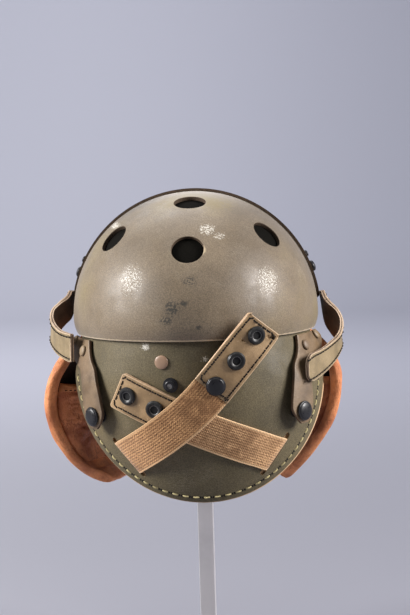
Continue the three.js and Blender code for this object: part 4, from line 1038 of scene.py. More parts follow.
def strap_run(strap):
    """Surfaces of a strap's webbing and of its tab, over the strip's width and length."""
    slot = np.array([strap["from"] * SLOT_SPREAD / 2, SLOT_LEVEL])
    tab_way = heading(strap["turn"])
    tab_start = np.array(strap["snap"]) - tab_way * TAB_LEAD * strap["seen"]
    distance = np.linalg.norm(tab_start - slot)
    third = distance / 3
    corners = (slot, slot + heading(strap["leave"]) * third, tab_start - tab_way * third, tab_start)
    shares = np.linspace(SLOT_BEND / distance, 1 - CLEARANCE / distance, 9)
    track = [(*slot, -WEBBING_TAIL), (*slot, -WEBBING_TAIL / 2), (*slot, CLEARANCE)]
    track += [(*bezier(corners, share), float(follow(strap["lifts"], "lift", share))) for share in shares]
    slot_part = 3 / (len(track) - 1)
    slot_edge = -np.array([np.cos(SLOT_SLANT), strap["from"] * np.sin(SLOT_SLANT)])

    def webbing(u, v):
        spot = through(track, v)
        outside = np.clip((v - slot_part) / (1 - slot_part), 0.001, 0.999)
        way = bezier(corners, outside + 0.0005) - bezier(corners, outside - 0.0005)
        way /= np.linalg.norm(way, axis=-1, keepdims=True)
        square = np.stack([-way[..., 1], way[..., 0]], -1)
        turned = smoothstep(outside, 0.06, 0.4)[..., None]
        edge = slot_edge * (1 - turned) + square * turned
        edge /= np.linalg.norm(edge, axis=-1, keepdims=True)
        side = (u - 0.5) * STRAP_WIDTH
        return off_guard(spot[..., 0] + edge[..., 0] * side, spot[..., 1] + edge[..., 1] * side, spot[..., 2])

    first = strap["lifts"]["lift"][-1]

    def tab(u, v):
        side, along = (u - 0.5) * STRAP_WIDTH, v * TAB_LENGTH * strap["seen"]
        lift = first + (strap["end_lift"] - first) * np.maximum(0, v) ** 1.3
        return off_guard(tab_start[0] + tab_way[0] * along - tab_way[1] * side,
                         tab_start[1] + tab_way[1] * along + tab_way[0] * side, lift)

    return webbing, tab, distance + WEBBING_TAIL


def lay_in(node):
    """Where a point lies on a strip, across it and along it, in metres."""
    return node("ShaderNodeSeparateXYZ", {"Vector": node("ShaderNodeUVMap", uv_map="lay").outputs[0]}).outputs


def webbing_finish(name, colour, shadow, edge, width, darkened_at):
    """Ribbed elastic: cords along the band, cross threads over them, lighter edges and a blotchy darker part.
    """
    material, node, shader = new_material(name, Roughness=0.88, Specular_IOR_Level=0.2, Sheen_Weight=0.25)
    lay = lay_in(node)
    across = maths(node, "SINE", times(node, lay["X"], 2 * np.pi / CORD_PITCH))
    along = maths(node, "SINE", times(node, lay["Y"], 2 * np.pi / PICK_PITCH))
    ribs = maths(node, "ADD", times(node, across, 0.55), times(node, times(node, across, along), 0.6))
    spot = spot_in(node)
    fuzz = noise(node, spot, 900.0, 4.0, 0.7)
    pepper = ranged(node, maths(node, "ADD", times(node, ribs, 0.13), fuzz), 0.3, 0.68)
    cloth = blended(node, pepper, shadow, colour)
    cloth = patchy(node, spot, cloth, shadow, 45.0, 0.45, 0.75, 5.0, 0.5)
    near_crossing = ranged(node, gap(node, lay["Y"], darkened_at), 0.004, 0.018, 0.75, 0.0)
    blotches = ranged(node, noise(node, spot, 110.0, 4.0), 0.3, 0.6)
    cloth = blended(node, times(node, near_crossing, blotches), cloth, shadow)
    inset = maths(node, "SUBTRACT", width / 2, gap(node, lay["X"], width / 2))
    link(blended(node, ranged(node, inset, 0.0008, 0.0022, 0.85, 0.0), cloth, edge), shader["Base Color"])
    height = maths(node, "ADD", ribs, times(node, fuzz, 0.9))
    bump = node("ShaderNodeBump", {"Strength": 0.55, "Distance": 0.00028, "Height": height})
    link(bump.outputs["Normal"], shader["Normal"])
    return material


def strap_leather(name, colour, dark, worn, roughness=0.55, size=None):
    """Painted strap leather: a fine grain, darker patches, rubbed specks and, at a size, rubbed borders."""
    material, node, shader = new_material(name, Specular_IOR_Level=0.45, Coat_Weight=0.1, Coat_Roughness=0.4)
    hide = use(node, grain, Scale=950.0, Depth=0.00022, Strength=0.42, Pebble=0.9)
    spot = spot_in(node)
    tone = patchy(node, spot, colour, dark, 55.0, 0.4, 0.68, 5.0)
    tone = blended(node, ranged(node, hide["Mottle"], 0.35, 0.7, 0.0, 0.35), tone, dark)
    rubbed = ranged(node, noise(node, spot, 420.0, 6.0, 0.7), 0.62, 0.7, 0.0, 0.7)
    tone = blended(node, rubbed, tone, worn)
    lines = use(node, scratches, Scale=60.0, Cover=0.34)["Mask"]
    tone = blended(node, times(node, lines, 0.6), tone, worn)
    if size:
        lay = lay_in(node)
        inset = maths(node, "MINIMUM", lay["X"], maths(node, "SUBTRACT", size[0], lay["X"]))
        inset = maths(node, "MINIMUM", inset, maths(node, "SUBTRACT", size[1], lay["Y"]))
        frayed = maths(node, "ADD", inset, times(node, noise(node, spot, 700.0, 4.0), RUBBED_BORDER))
        border = ranged(node, frayed, 1.2 * RUBBED_BORDER, 1.8 * RUBBED_BORDER, 0.7, 0.0)
        tone = blended(node, border, tone, worn)
    finish(shader, tone, uneven(node, spot, 120.0, roughness - 0.1, roughness + 0.12), hide["Normal"])
    return material


def strip(name, surface, half, size, materials, lift=0.0, corner=0.0, steps=(18, 72), rounding=0.0005):
    """A strip with soft edges. Its narrow side faces get the second material."""
    width, length = size

    def narrowed(u, v):
        return surface(0.5 + (u - 0.5) * rim_share(v, length, width, corner), v)

    edge = np.array([0, 0.15, 0.4, 0.8, 1.2]) * rounding
    columns = np.concatenate([edge / width, np.linspace(0.06, 0.94, steps[0]), 1 - edge[::-1] / width])
    rows = np.concatenate([edge / length, np.linspace(0.02, 0.98, steps[1]), 1 - edge[::-1] / length])
    soft = soft_lift(half, rounding, width, length)
    vertices, faces, lay = wall(narrowed, columns, rows, lambda u, v: lift + soft(u, v),
                                lambda u, v: lift - soft(u, v), size)
    piece = new_mesh(name, vertices, faces, materials, lay)
    if len(materials) > 1:
        for polygon in piece.data.polygons[2 * (len(columns) - 1) * (len(rows) - 1):]:
            polygon.material_index = 1
    return piece


def two_layers(node_name, surface, thickness, size, face, back, edge, corner, steps, rounding=0.0005):
    """Two layers of leather, each with its own finish and the same edges, that stand for one node."""
    half = (thickness - TAB_LAYER_GAP) / 4
    for layer, way, material in (("face", 1, face), ("back", -1, back)):
        lift = way * (half + TAB_LAYER_GAP / 2)
        leather = strip(f"{node_name}_{layer}", surface, half, size, [material, edge], lift, corner, steps,
                        rounding)
        stands_for(leather, node_name, slot="olive_leather")


def seam(name, surface, path, lift, sizes):
    """A row of dark thread on a strip: path is pairs of u and v, drawn out into close points."""
    corners = np.array(path, float)
    runs = [np.linspace(a, b, 30, endpoint=False) for a, b in zip(corners, corners[1:])]
    u, v = np.concatenate([*runs, corners[-1:]]).T
    out = normal_of(surface, u, v)
    sewn(name, surface(u, v) + out * lift, out, sizes, dark_thread)


webbing_tones = {
    "upper": ((0.62, 0.34, 0.15, 1), (0.17, 0.078, 0.030, 1), (0.66, 0.41, 0.21, 1)),
    "lower": ((0.70, 0.42, 0.21, 1), (0.20, 0.10, 0.042, 1), (0.74, 0.49, 0.27, 1)),
}
tab_leather = strap_leather("tab_leather", (0.38, 0.25, 0.125, 1), (0.22, 0.14, 0.066, 1),
                            (0.60, 0.42, 0.26, 1), size=(STRAP_WIDTH, TAB_LENGTH))
raw_leather = strap_leather("raw_leather", (0.60, 0.41, 0.26, 1), (0.34, 0.21, 0.12, 1),
                            (0.70, 0.52, 0.36, 1), 0.75)
dark_thread = thread_finish("dark_thread", (0.022, 0.014, 0.009, 1), (0.012, 0.009, 0.007, 1))
strap_surfaces = {}
for name, strap in STRAPS.items():
    webbing, tab, run_length = strap_run(strap)
    strap_surfaces[name] = tab
    cloth = webbing_finish(f"webbing_{name}", *webbing_tones[name], STRAP_WIDTH, strap["darkened_at"])
    band = strip(f"webbing_{name}", webbing, WEBBING_THICKNESS / 2, (STRAP_WIDTH, run_length), [cloth],
                 steps=(14, 150))
    stands_for(band, f"webbing_{name}", slot="elastic_webbing")
    two_layers(f"strap_tab_{name}", tab, TAB_THICKNESS, (STRAP_WIDTH, TAB_LENGTH), tab_leather, tab_leather,
               raw_leather, TAB_CORNER, (14, 40))
    left, low = TAB_SEAM_INSET / STRAP_WIDTH, TAB_SEAM_INSET / TAB_LENGTH
    right, high = 1 - left, 1 - low
    path = [(left, low), (left, high), (right, high), (right, low), (left, low)]
    seam(f"tab_seam_{name}", tab, path, TAB_THICKNESS / 2, TAB_SEAM)

# Strap snaps
# The upper tab is held to the guard by a domed cap. The other snaps are open sockets of black steel, whose
# inner lips are rubbed bright round a hole with a near-black floor of painted shade.
CAP_DIMPLE = 0.0068
SOCKET_LIP = 0.0006


def snap_cap(diameter, height):
    """Profile of a cap: a rolled rim, a shallow groove and a flat dome."""
    radius = diameter / 2
    dome = [(CAP_DIMPLE * np.cos(t), 0.5 * height * (1 + np.sin(t)))
            for t in np.linspace(0, np.pi / 2, 9)[:-1]]
    return [(0, 0), (radius - 0.0004, 0), (radius, 0.14 * height), (radius, 0.3 * height),
            (radius - 0.0004, 0.46 * height), (CAP_DIMPLE + 0.0003, 0.47 * height), *dome, (0, height)]


def snap_socket(diameter, height, bore):
    """Profile of a socket: a domed ring, a rolled lip and a hole with a floor."""
    outer, inner = diameter / 2, bore / 2
    crest = (outer + inner) / 2
    return [(0, 0), (outer - 0.0003, 0), (outer, 0.12 * height), (outer, 0.3 * height),
            (outer - 0.0005, 0.55 * height), (crest + 0.0009, 0.92 * height), (crest, height),
            (crest - 0.0006, 0.97 * height),
            (inner + SOCKET_LIP, 0.72 * height), (inner + 0.0001, 0.6 * height), (inner, 0.45 * height),
            (inner - 0.0001, 0.16 * height), (0, 0.14 * height)]


worn_enamel = enamelled("worn_enamel", (0.012, 0.012, 0.012, 1), (0.24, 0.23, 0.22, 1), 0.42, 0.64)
dull_steel = enamelled("dull_steel", (0.10, 0.098, 0.095, 1), (0.30, 0.29, 0.28, 1), 0.4, 0.6)
# The floor of each socket's hole is near-black: painted shade for the depth of the bore.
socket_hole_shade = enamelled("socket_hole_shade", (0.006, 0.006, 0.006, 1), (0.02, 0.02, 0.02, 1), 0.6, 0.8)
socket_finish = [worn_enamel, dull_steel, socket_hole_shade]
socket_bands = (SNAP_SOCKET[2] / 2 + SOCKET_LIP, SNAP_SOCKET[2] / 2 - 0.00005)
for name, tab in strap_surfaces.items():
    for snap in range(STRAPS[name]["first_snap"], 3):
        along = np.array((TAB_LEAD + snap * SNAP_PITCH) / TAB_LENGTH)
        out = normal_of(tab, np.array(0.5), along)
        place = tab(np.array(0.5), along) + out * TAB_THICKNESS / 2
        if snap == 0:
            fitted(f"cap_{name}", snap_cap(*SNAP_CAP), place, out, CLEARANCE, [black_enamel],
                   f"strap_cap_{name}")
        else:
            fitted(f"socket_{name}_{snap}", snap_socket(*SNAP_SOCKET), place, out, CLEARANCE, socket_finish,
                   f"strap_socket_{name}_{snap}", bands=socket_bands)

# Side tabs
# Each side has a thick leather strip that is riveted on under the rim, stands off the guard and ends in a
# domed cap over a stud. Its cut edges are dark, and its two rivets are painted over.
SIDE_TAB_WIDTH = 0.026
SIDE_TAB_THICKNESS = 0.003
SIDE_TAB_TOP = -0.0022
SIDE_TAB_DROP = 0.067
SIDE_TAB_STAND_OFF = 0.0064
SIDE_SNAP_LEVEL = -0.0596
SIDE_TAB_REST = 3 * CLEARANCE + SIDE_TAB_THICKNESS / 2
TAB_RIVET = (0.0085, 0.0024)
SIDE_TAB_SECTIONS = {
    "at": (0, 0.1, 0.22, 0.36, 0.8, 0.92, 1),
    "rearward": (58.5, 57, 53.5, 48, 41.7, 43.2, 45.7),
    "forward": (83, 84, 77, 60.5, 53.7, 51.7, 49.2),
    "rear_lift": (0, 0.02, 0.15, 0.35, 0.9, 1, 1),
    "fore_lift": (0.1, 0.5, 0.35, 0.35, 0.9, 1, 1),
}
SIDE_TAB_RIVETS = ((0.14, 0.2), (0.06, 0.68))


def side_tab(sign):
    """Surface of a side tab: u runs to the right from outside, so it is turned round on the left."""
    def surface(u, v):
        forward = u if sign > 0 else 1 - u
        rear, fore = follow(SIDE_TAB_SECTIONS, "rearward", v), follow(SIDE_TAB_SECTIONS, "forward", v)
        bearing = sign * np.radians(rear + (fore - rear) * forward)
        low, high = follow(SIDE_TAB_SECTIONS, "rear_lift", v), follow(SIDE_TAB_SECTIONS, "fore_lift", v)
        lift = (low + (high - low) * forward) * SIDE_TAB_STAND_OFF
        level = SIDE_TAB_TOP - v * SIDE_TAB_DROP
        out = normal_of(lambda s, t: guard_point(s, -t), bearing, -level, 0.00002)
        return guard_point(bearing, level) + out * (SIDE_TAB_REST + lift)[..., None]

    return surface


side_leather = strap_leather("side_leather", (0.175, 0.115, 0.062, 1), (0.10, 0.064, 0.034, 1),
                             (0.36, 0.25, 0.16, 1), 0.5)
tab_rivet_paint = painted_metal("tab_rivet_paint", (0.22, 0.155, 0.09, 1), (0.15, 0.10, 0.06, 1), 0.5)
dark_edge_leather = strap_leather("dark_edge_leather", (0.13, 0.075, 0.045, 1), (0.055, 0.033, 0.022, 1),
                          (0.34, 0.22, 0.15, 1), 0.6)
for side, sign in SIDES.items():
    surface = side_tab(sign)
    half = SIDE_TAB_THICKNESS / 2
    tab = strip(f"side_strip_{side}", surface, half, (SIDE_TAB_WIDTH, SIDE_TAB_DROP),
                [side_leather, dark_edge_leather], steps=(16, 60), rounding=0.0008)
    stands_for(tab, f"side_tab_{side}", slot="olive_leather")
    share = np.array((SIDE_TAB_TOP - SIDE_SNAP_LEVEL) / SIDE_TAB_DROP)
    middle, out = surface(np.array(0.5), share), normal_of(surface, np.array(0.5), share)
    fitted(f"side_cap_{side}", snap_cap(*SNAP_CAP), middle + out * half, out, CLEARANCE, [black_enamel],
           f"side_tab_snap_{side}")
    under = float(follow(SIDE_TAB_SECTIONS, "rear_lift", share)) * SIDE_TAB_STAND_OFF - CLEARANCE
    stud = snap_stud(SNAP_STUD[0], under, SNAP_STUD[2])
    fitted(f"side_stud_{side}", stud, middle - out * (half + under), out, -CLEARANCE, [black_enamel],
           f"side_tab_stud_{side}")
    for k, (at, across) in enumerate(SIDE_TAB_RIVETS):
        u, v = np.array(across if sign > 0 else 1 - across), np.array(at)
        out = normal_of(surface, u, v)
        place = surface(u, v) + out * half
        fitted(f"side_rivet_{side}_{k + 1}", domed_head(*TAB_RIVET), place, out, CLEARANCE, [tab_rivet_paint],
               f"side_tab_rivet_{side}_{k + 1}", "painted_rivet")

# Goggle loops
# A stiff strip of two layers of leather springs out from each side and back over the side tab, with room for
# the strap of a pair of goggles behind it. Its cut edges are pale, and dark thread is sewn along them.
LOOP_BOW = 0.0175
LOOP_SETBACK = 0.075
LOOP_FALL = 0.055
LOOP_THICKNESS = 0.0035
LOOP_WIDTH = 0.022
LOOP_LENGTH = 0.105
LOOP_SEAM_INSET = 0.0026
LOOP_SEAM = {"Pitch": 0.0050, "Length": 0.0030, "Thickness": 0.0011}
LOOP_SEAM_ENDS = (0.03, 0.98)
LOOP_START = 0.085
LOOP_CORNERS = {"left": 0.002, "right": 0.008}
LOOP_LEVELS = (0, 0.12, 0.25, 0.38, 0.5, 0.65, 0.78, 0.9, 1)
LOOPS = {
    "right": {
        "at": LOOP_LEVELS,
        "near_out": (-0.01, 0.17, 0.76, 0.95, 0.81, 0.27, -0.14, -0.45, -0.69),
        "near_back": (-0.08, -0.07, 0, 0.11, 0.24, 0.53, 0.75, 0.91, 1.01),
        "near_up": (0.51, 0.2, -0.01, -0.17, -0.33, -0.45, -0.5, -0.52, -0.57),
        "far_out": (-0.17, 0.04, 0.2, 0.49, 0.87, 0.69, 0.23, -0.31, -0.66),
        "far_back": (-0.37, -0.37, -0.24, -0.14, -0.04, 0.27, 0.57, 0.84, 0.99),
        "far_up": (0.49, 0.16, -0.2, -0.36, -0.51, -0.66, -0.8, -0.9, -0.94),
    },
    "left": {
        "at": LOOP_LEVELS,
        "near_out": (-0.08, 0.11, 0.52, 0.82, 0.88, 0.73, 0.36, -0.05, -0.31),
        "near_back": (-0.08, -0.07, -0.01, 0.05, 0.12, 0.22, 0.44, 0.59, 0.69),
        "near_up": (0.55, 0.32, 0.21, 0.12, 0.02, -0.08, -0.15, -0.18, -0.18),
        "far_out": (-0.24, -0.03, 0.13, 0.43, 0.77, 0.97, 0.74, 0.31, -0.29),
        "far_back": (-0.37, -0.36, -0.24, -0.17, -0.11, -0.01, 0.21, 0.44, 0.68),
        "far_up": (0.53, 0.27, -0.02, -0.13, -0.25, -0.36, -0.46, -0.55, -0.61),
    },
}


def on_side(surface, side):
    """A surface of the helmet's right side, or the same on the left, seen from outside in both cases."""
    if side == "right":
        return surface
    return lambda u, v: surface(1 - u, v) * np.array([-1, 1, 1])


def loop_surface(table):
    """Surface of a loop, from a little below the upper end of its table."""
    def edge(name, v):
        out, back, up = (follow(table, f"{name}_{way}", v) for way in ("out", "back", "up"))
        return np.stack([CROWN_WIDTH / 2 + BROW_OUTSET + LOOP_BOW * out, -LOOP_SETBACK * back,
                         SKIRT_HEIGHT + LOOP_FALL * up], -1)

    def surface(u, v):
        v = LOOP_START + (1 - LOOP_START) * v
        return edge("near", v) * (1 - u)[..., None] + edge("far", v) * u[..., None]

    return surface


loop_face = strap_leather("loop_face", (0.28, 0.21, 0.115, 1), (0.18, 0.135, 0.072, 1),
                          (0.56, 0.42, 0.29, 1), 0.5, (LOOP_WIDTH, LOOP_LENGTH))
loop_edge = strap_leather("loop_edge", (0.56, 0.42, 0.30, 1), (0.38, 0.26, 0.17, 1),
                          (0.68, 0.54, 0.41, 1), 0.65)
loop_back = strap_leather("loop_back", (0.085, 0.055, 0.038, 1), (0.045, 0.030, 0.022, 1),
                          (0.20, 0.13, 0.09, 1), 0.7)
inset = LOOP_SEAM_INSET / LOOP_WIDTH
for side in SIDES:
    surface = on_side(loop_surface(LOOPS[side]), side)
    two_layers(f"goggle_loop_{side}", surface, LOOP_THICKNESS, (LOOP_WIDTH, LOOP_LENGTH), loop_face,
               loop_back, loop_edge, LOOP_CORNERS[side], (14, 90), 0.0004)
    for k, u in enumerate((inset, 1 - inset)):
        path = [(u, v) for v in LOOP_SEAM_ENDS]
        seam(f"loop_seam_{side}_{k + 1}", surface, path, LOOP_THICKNESS / 2, LOOP_SEAM)

# Ear flaps
# Each flap is soft brown leather with a padded roll round its free edges, and the upper part of its inside is
# painted near-black as the shade of the hollow above the pocket. It hangs from inside the rim, and its rear
# edge stands well out from the head.
FLAP_TOP = 0.006
FLAP_LEAN = 1.15
FLAP_DROP = 0.132
FLAP_REACH = 0.1245
FLAP_DEPTH = 0.078
FLAP_WALL = 0.003
FLAP_ROLL = 0.009
SHADED_DOWN_TO = 0.42
SOFT_EDGE = np.radians(70)
FLAP_SEEDS = {"left": 5, "right": 8}
FLAP_FOLDS = (7, 0.0007)
FLAP_FRONT = (0.92, 0.93, 0.94, 0.95, 0.95, 0.94, 0.91, 0.86, 0.78, 0.68, 0.58)
FLAPS = {
    "left": {
        "at": (0, 0.06, 0.12, 0.21, 0.35, 0.5, 0.63, 0.74, 0.85, 0.94, 1),
        "rear_out": (0.735, 0.745, 0.8, 0.89, 0.975, 1, 0.975, 0.925, 0.85, 0.74, 0.6),
        "front_out": (0.56, 0.565, 0.58, 0.61, 0.64, 0.66, 0.66, 0.64, 0.61, 0.57, 0.52),
        "rear_back": (0.05, 0.06, 0.08, 0.1, 0.13, 0.14, 0.13, 0.09, 0.02, -0.09, -0.2),
        "front_fore": FLAP_FRONT,
    },
    "right": {
        "at": (0, 0.06, 0.12, 0.25, 0.35, 0.5, 0.63, 0.74, 0.85, 0.94, 1),
        "rear_out": (0.735, 0.745, 0.8, 0.9, 0.93, 0.915, 0.865, 0.79, 0.7, 0.61, 0.54),
        "front_out": (0.56, 0.565, 0.58, 0.61, 0.63, 0.64, 0.63, 0.61, 0.57, 0.53, 0.49),
        "rear_back": (0.05, 0.06, 0.08, 0.1, 0.12, 0.13, 0.12, 0.08, 0.01, -0.1, -0.2),
        "front_fore": FLAP_FRONT,
    },
}


def flap_fore(table, u, v):
    """How far forward a place of a flap lies."""
    v = np.clip(v, 0, 1)
    return FLAP_DEPTH * (-follow(table, "rear_back", v) * (1 - u) + follow(table, "front_fore", v) * u)


def flap_surface(table):
    def surface(u, v):
        lean = (1 - u) * np.abs(1 - u) ** (FLAP_LEAN - 1)
        bound = np.clip(v, 0, 1)
        out = follow(table, "front_out", bound) * (1 - lean) + follow(table, "rear_out", bound) * lean
        parts = (FLAP_REACH * out, flap_fore(table, u, v), FLAP_TOP - v * FLAP_DROP)
        return np.stack(np.broadcast_arrays(*parts), -1)

    return surface


def rumpled(seed, waves, size):
    """Soft folds of leather: a sum of waves over u and v, of that many and that size in metres."""
    draw = np.random.default_rng(seed)
    ways = draw.uniform(-1, 1, (waves, 2)) * (9, 14)
    starts = draw.uniform(0, 2 * np.pi, waves)

    def lift(u, v):
        folds = sum(np.sin(a * u * 2 + b * v * 2 + start) ** 3 for (a, b), start in zip(ways, starts))
        return size * folds / np.sqrt(waves)

    return lift


def flap_swell(rumple):
    """Half of the flap's thickness: a thin wall inside a padded roll along the free edges."""
    def half_thickness(u, v):
        inset = np.minimum(np.minimum(u, 1 - u) * FLAP_DEPTH, (1 - v) * FLAP_DROP)
        turn = np.clip(2 * inset / FLAP_ROLL - 1, -1, 1)
        roll = np.sqrt(1 - turn ** 2)
        hung = smoothstep(v, 0.06, 0.16)
        thin = np.where(inset < FLAP_ROLL / 2, 0.0004, FLAP_WALL / 2)
        padded = thin + (FLAP_ROLL / 2 - thin) * roll
        return FLAP_WALL / 2 * (1 - hung) + padded * hung + rumple(u, v) * hung * (1 - 0.6 * roll)

    return half_thickness


def soft_leather(name, colour, dark, worn, crease):
    """Soft grained hide: dark in its creases, rubbed lighter on its folds."""
    material, node, shader = new_material(name, Specular_IOR_Level=0.25)
    hide = use(node, grain, Scale=620.0, Depth=0.0004, Strength=0.5, Pebble=1.2)
    spot = spot_in(node)
    tone = patchy(node, spot, colour, dark, 38.0, 0.38, 0.66, 5.0)
    laid = node("ShaderNodeMapping",
                {"Vector": spot, "Rotation": (0.5, 0.3, 0.2), "Scale": (1.0, 2.6, 0.8)}).outputs[0]
    fold = ranged(node, gap(node, noise(node, laid, 80.0, 4.0, 0.6), 0.5), 0.0, 0.03, 1.0, 0.0)
    tone = blended(node, times(node, fold, crease), tone, dark)
    rubbed = ranged(node, noise(node, spot, 260.0, 6.0, 0.7), 0.58, 0.72, 0.0, 0.45)
    tone = blended(node, rubbed, tone, worn)
    height = maths(node, "SUBTRACT", times(node, hide["Mottle"], 0.5), times(node, fold, 0.6))
    bump = node("ShaderNodeBump",
                {"Strength": 0.5, "Distance": 0.0006, "Height": height, "Normal": hide["Normal"]})
    finish(shader, tone, uneven(node, spot, 90.0, 0.46, 0.68), bump.outputs["Normal"])
    return material


brown_leather = soft_leather("brown_leather", (0.70, 0.275, 0.115, 1), (0.40, 0.135, 0.058, 1),
                             (0.84, 0.48, 0.27, 1), 0.55)
flap_hollow_shade = bare_fibre("flap_hollow_shade", (0.030, 0.017, 0.011, 1), (0.014, 0.009, 0.006, 1), 0.1)
roll_shares = (1 - np.cos(np.linspace(0, np.pi, 17))) / 2
roll_columns = roll_shares * FLAP_ROLL / FLAP_DEPTH
middle_columns = np.linspace(roll_columns[-1], 1 - roll_columns[-1], 44)[1:-1]
flap_columns = np.concatenate([roll_columns, middle_columns, 1 - roll_columns[::-1]])
last_roll = FLAP_ROLL / FLAP_DROP
flap_rows = np.concatenate([np.linspace(0, 1 - last_roll, 90), 1 - roll_shares[::-1][1:] * last_roll])
facing_count = 2 * (len(flap_columns) - 1) * (len(flap_rows) - 1)
for side in SIDES:
    surface = on_side(flap_surface(FLAPS[side]), side)
    swell = flap_swell(rumpled(FLAP_SEEDS[side], *FLAP_FOLDS))
    vertices, faces, lay = wall(surface, flap_columns, flap_rows, swell, lambda u, v: -swell(u, v),
                                (FLAP_DEPTH, FLAP_DROP))
    flap = new_mesh(f"flap_{side}", vertices, faces, [brown_leather, flap_hollow_shade], lay, SOFT_EDGE)
    # Inner faces of the flap's upper middle get the near-black painted shade of the hollow above the pocket.
    for polygon, face in zip(flap.data.polygons, faces[:facing_count]):
        across, down = lay[list(face)].mean(0)
        inside = polygon.index % 2 == 1 and FLAP_ROLL < across < FLAP_DEPTH - FLAP_ROLL
        polygon.material_index = int(inside and down < SHADED_DOWN_TO * FLAP_DROP)
    stands_for(flap, f"ear_flap_{side}", slot="brown_leather")

# Ear pockets
# The flap's inner panel of the same hide is sewn down round its sides and stands open at the top, where it
# has a turned hem of lighter leather.
POCKET_WALL = 0.002
POCKET_BULGE = 0.012
POCKET_GAP = 0.0006
POCKET_LEVELS = (0.36, 0.88)
POCKET_HEM = 0.10
HEM_SWELL = 0.0011
POCKET_SEAM = {"Pitch": 0.0040, "Length": 0.0026, "Thickness": 0.0007}
POCKET_SEAM_LEVEL = 0.8 * POCKET_HEM
POCKET_FOLDS = (9, 0.0019)
POCKET_SEEDS = {"left": 21, "right": 22}

hem_leather = soft_leather("hem_leather", (0.62, 0.25, 0.10, 1), (0.38, 0.14, 0.05, 1),
                           (0.75, 0.40, 0.2, 1), 0.3)
panel_leather = soft_leather("panel_leather", (0.66, 0.25, 0.11, 1), (0.32, 0.10, 0.046, 1),
                             (0.76, 0.40, 0.22, 1), 0.8)
edge_share = 1.15 * FLAP_ROLL / FLAP_DEPTH
low, high = POCKET_LEVELS
for side in SIDES:
    flap = flap_surface(FLAPS[side])
    surface = on_side(lambda u, v: flap(edge_share + (1 - 2 * edge_share) * u, low + (high - low) * v), side)
    folds = rumpled(POCKET_SEEDS[side], *POCKET_FOLDS)

    def bulge(u, v):
        crowned = np.sin(np.pi * np.clip(u, 0, 1)) ** 0.7
        open_top = 1 - smoothstep(v, 0.35, 1)
        held = np.clip(np.minimum(np.minimum(u, 1 - u) * 6, (1 - v) * 5), 0, 1)
        folded = np.abs(folds(u, v)) * held * 0.8
        return -FLAP_WALL / 2 - POCKET_GAP - POCKET_BULGE * crowned * open_top - folded

    def inner(u, v):
        hem = HEM_SWELL * np.clip(1 - (2 * v / POCKET_HEM - 1) ** 2, 0, 1) ** 0.5
        return bulge(u, v) - POCKET_WALL - np.where(v < POCKET_HEM, hem, 0)

    rows = np.concatenate([np.linspace(0, POCKET_HEM, 12), np.linspace(POCKET_HEM, 1, 70)[1:]])
    columns = np.linspace(0, 1, 64)
    vertices, faces, lay = wall(surface, columns, rows, bulge, inner, (FLAP_DEPTH, FLAP_DROP))
    panel = new_mesh(f"flap_panel_{side}", vertices, faces, [panel_leather, hem_leather], lay, SOFT_EDGE)
    for polygon, face in zip(panel.data.polygons, faces):
        polygon.material_index = int(lay[list(face)].mean(0)[1] < POCKET_HEM * FLAP_DROP)
    stands_for(panel, f"ear_pocket_{side}", slot="brown_leather")
    stretch = np.linspace(0.04, 0.96, 80)
    at = np.full_like(stretch, POCKET_SEAM_LEVEL)
    out = -normal_of(surface, stretch, at)
    places = surface(stretch, at) + out * -inner(stretch, at)[:, None]
    sewn(f"pocket_seam_{side}", places, out, POCKET_SEAM, dark_thread)

# Receiver cups
# A round cup of dark moulded leather sits on the outside of each flap, over the ear. Its face is a shallow
# dish inside a rolled rim.
CUP_FORE = 0.034
CUP_LEVEL = -0.069
CUP_DIAMETER = 0.062
CUP_HEIGHT = 0.008
CUP_GAP = 0.0009
CUP_EDGE = np.radians(60)
CUP_PROFILE = ((0.5, 0), (0.94, 0), (0.985, 0.06), (1, 0.2), (1, 0.55), (0.992, 0.75), (0.965, 0.92),
               (0.92, 1), (0.87, 0.985), (0.83, 0.92), (0.79, 0.86), (0.7, 0.84), (0.5, 0.87), (0.25, 0.9))

cup_leather = soft_leather("cup_leather", (0.045, 0.020, 0.012, 1), (0.020, 0.010, 0.006, 1),
                           (0.11, 0.055, 0.035, 1), 0.3)
for side in SIDES:
    surface = flap_surface(FLAPS[side])

    def cup_ring(share, height):
        angle = full_turn(ROUND_STEPS)
        v = (FLAP_TOP - CUP_LEVEL - CUP_DIAMETER / 2 * share * np.sin(angle)) / FLAP_DROP
        near, far_edge = flap_fore(FLAPS[side], 0, v), flap_fore(FLAPS[side], 1, v)
        u = (CUP_FORE + CUP_DIAMETER / 2 * share * np.cos(angle) - near) / (far_edge - near)
        return surface(u, v) + normal_of(surface, u, v) * (FLAP_WALL / 2 + CUP_GAP + height)

    rings = [cup_ring(share, height * CUP_HEIGHT) for share, height in CUP_PROFILE]
    bottom, top = (cup_ring(0, height)[0] for height in (0, 0.9 * CUP_HEIGHT))
    vertices, faces = stacked(bottom, rings, top)
    cup = new_mesh(f"receiver_cup_{side}", vertices * [SIDES[side], 1, 1] + HELMET, faces, [cup_leather],
                   sharp=CUP_EDGE)
    turn_outwards(cup)
    stands_for(cup, f"ear_cup_{side}", slot="dark_leather")

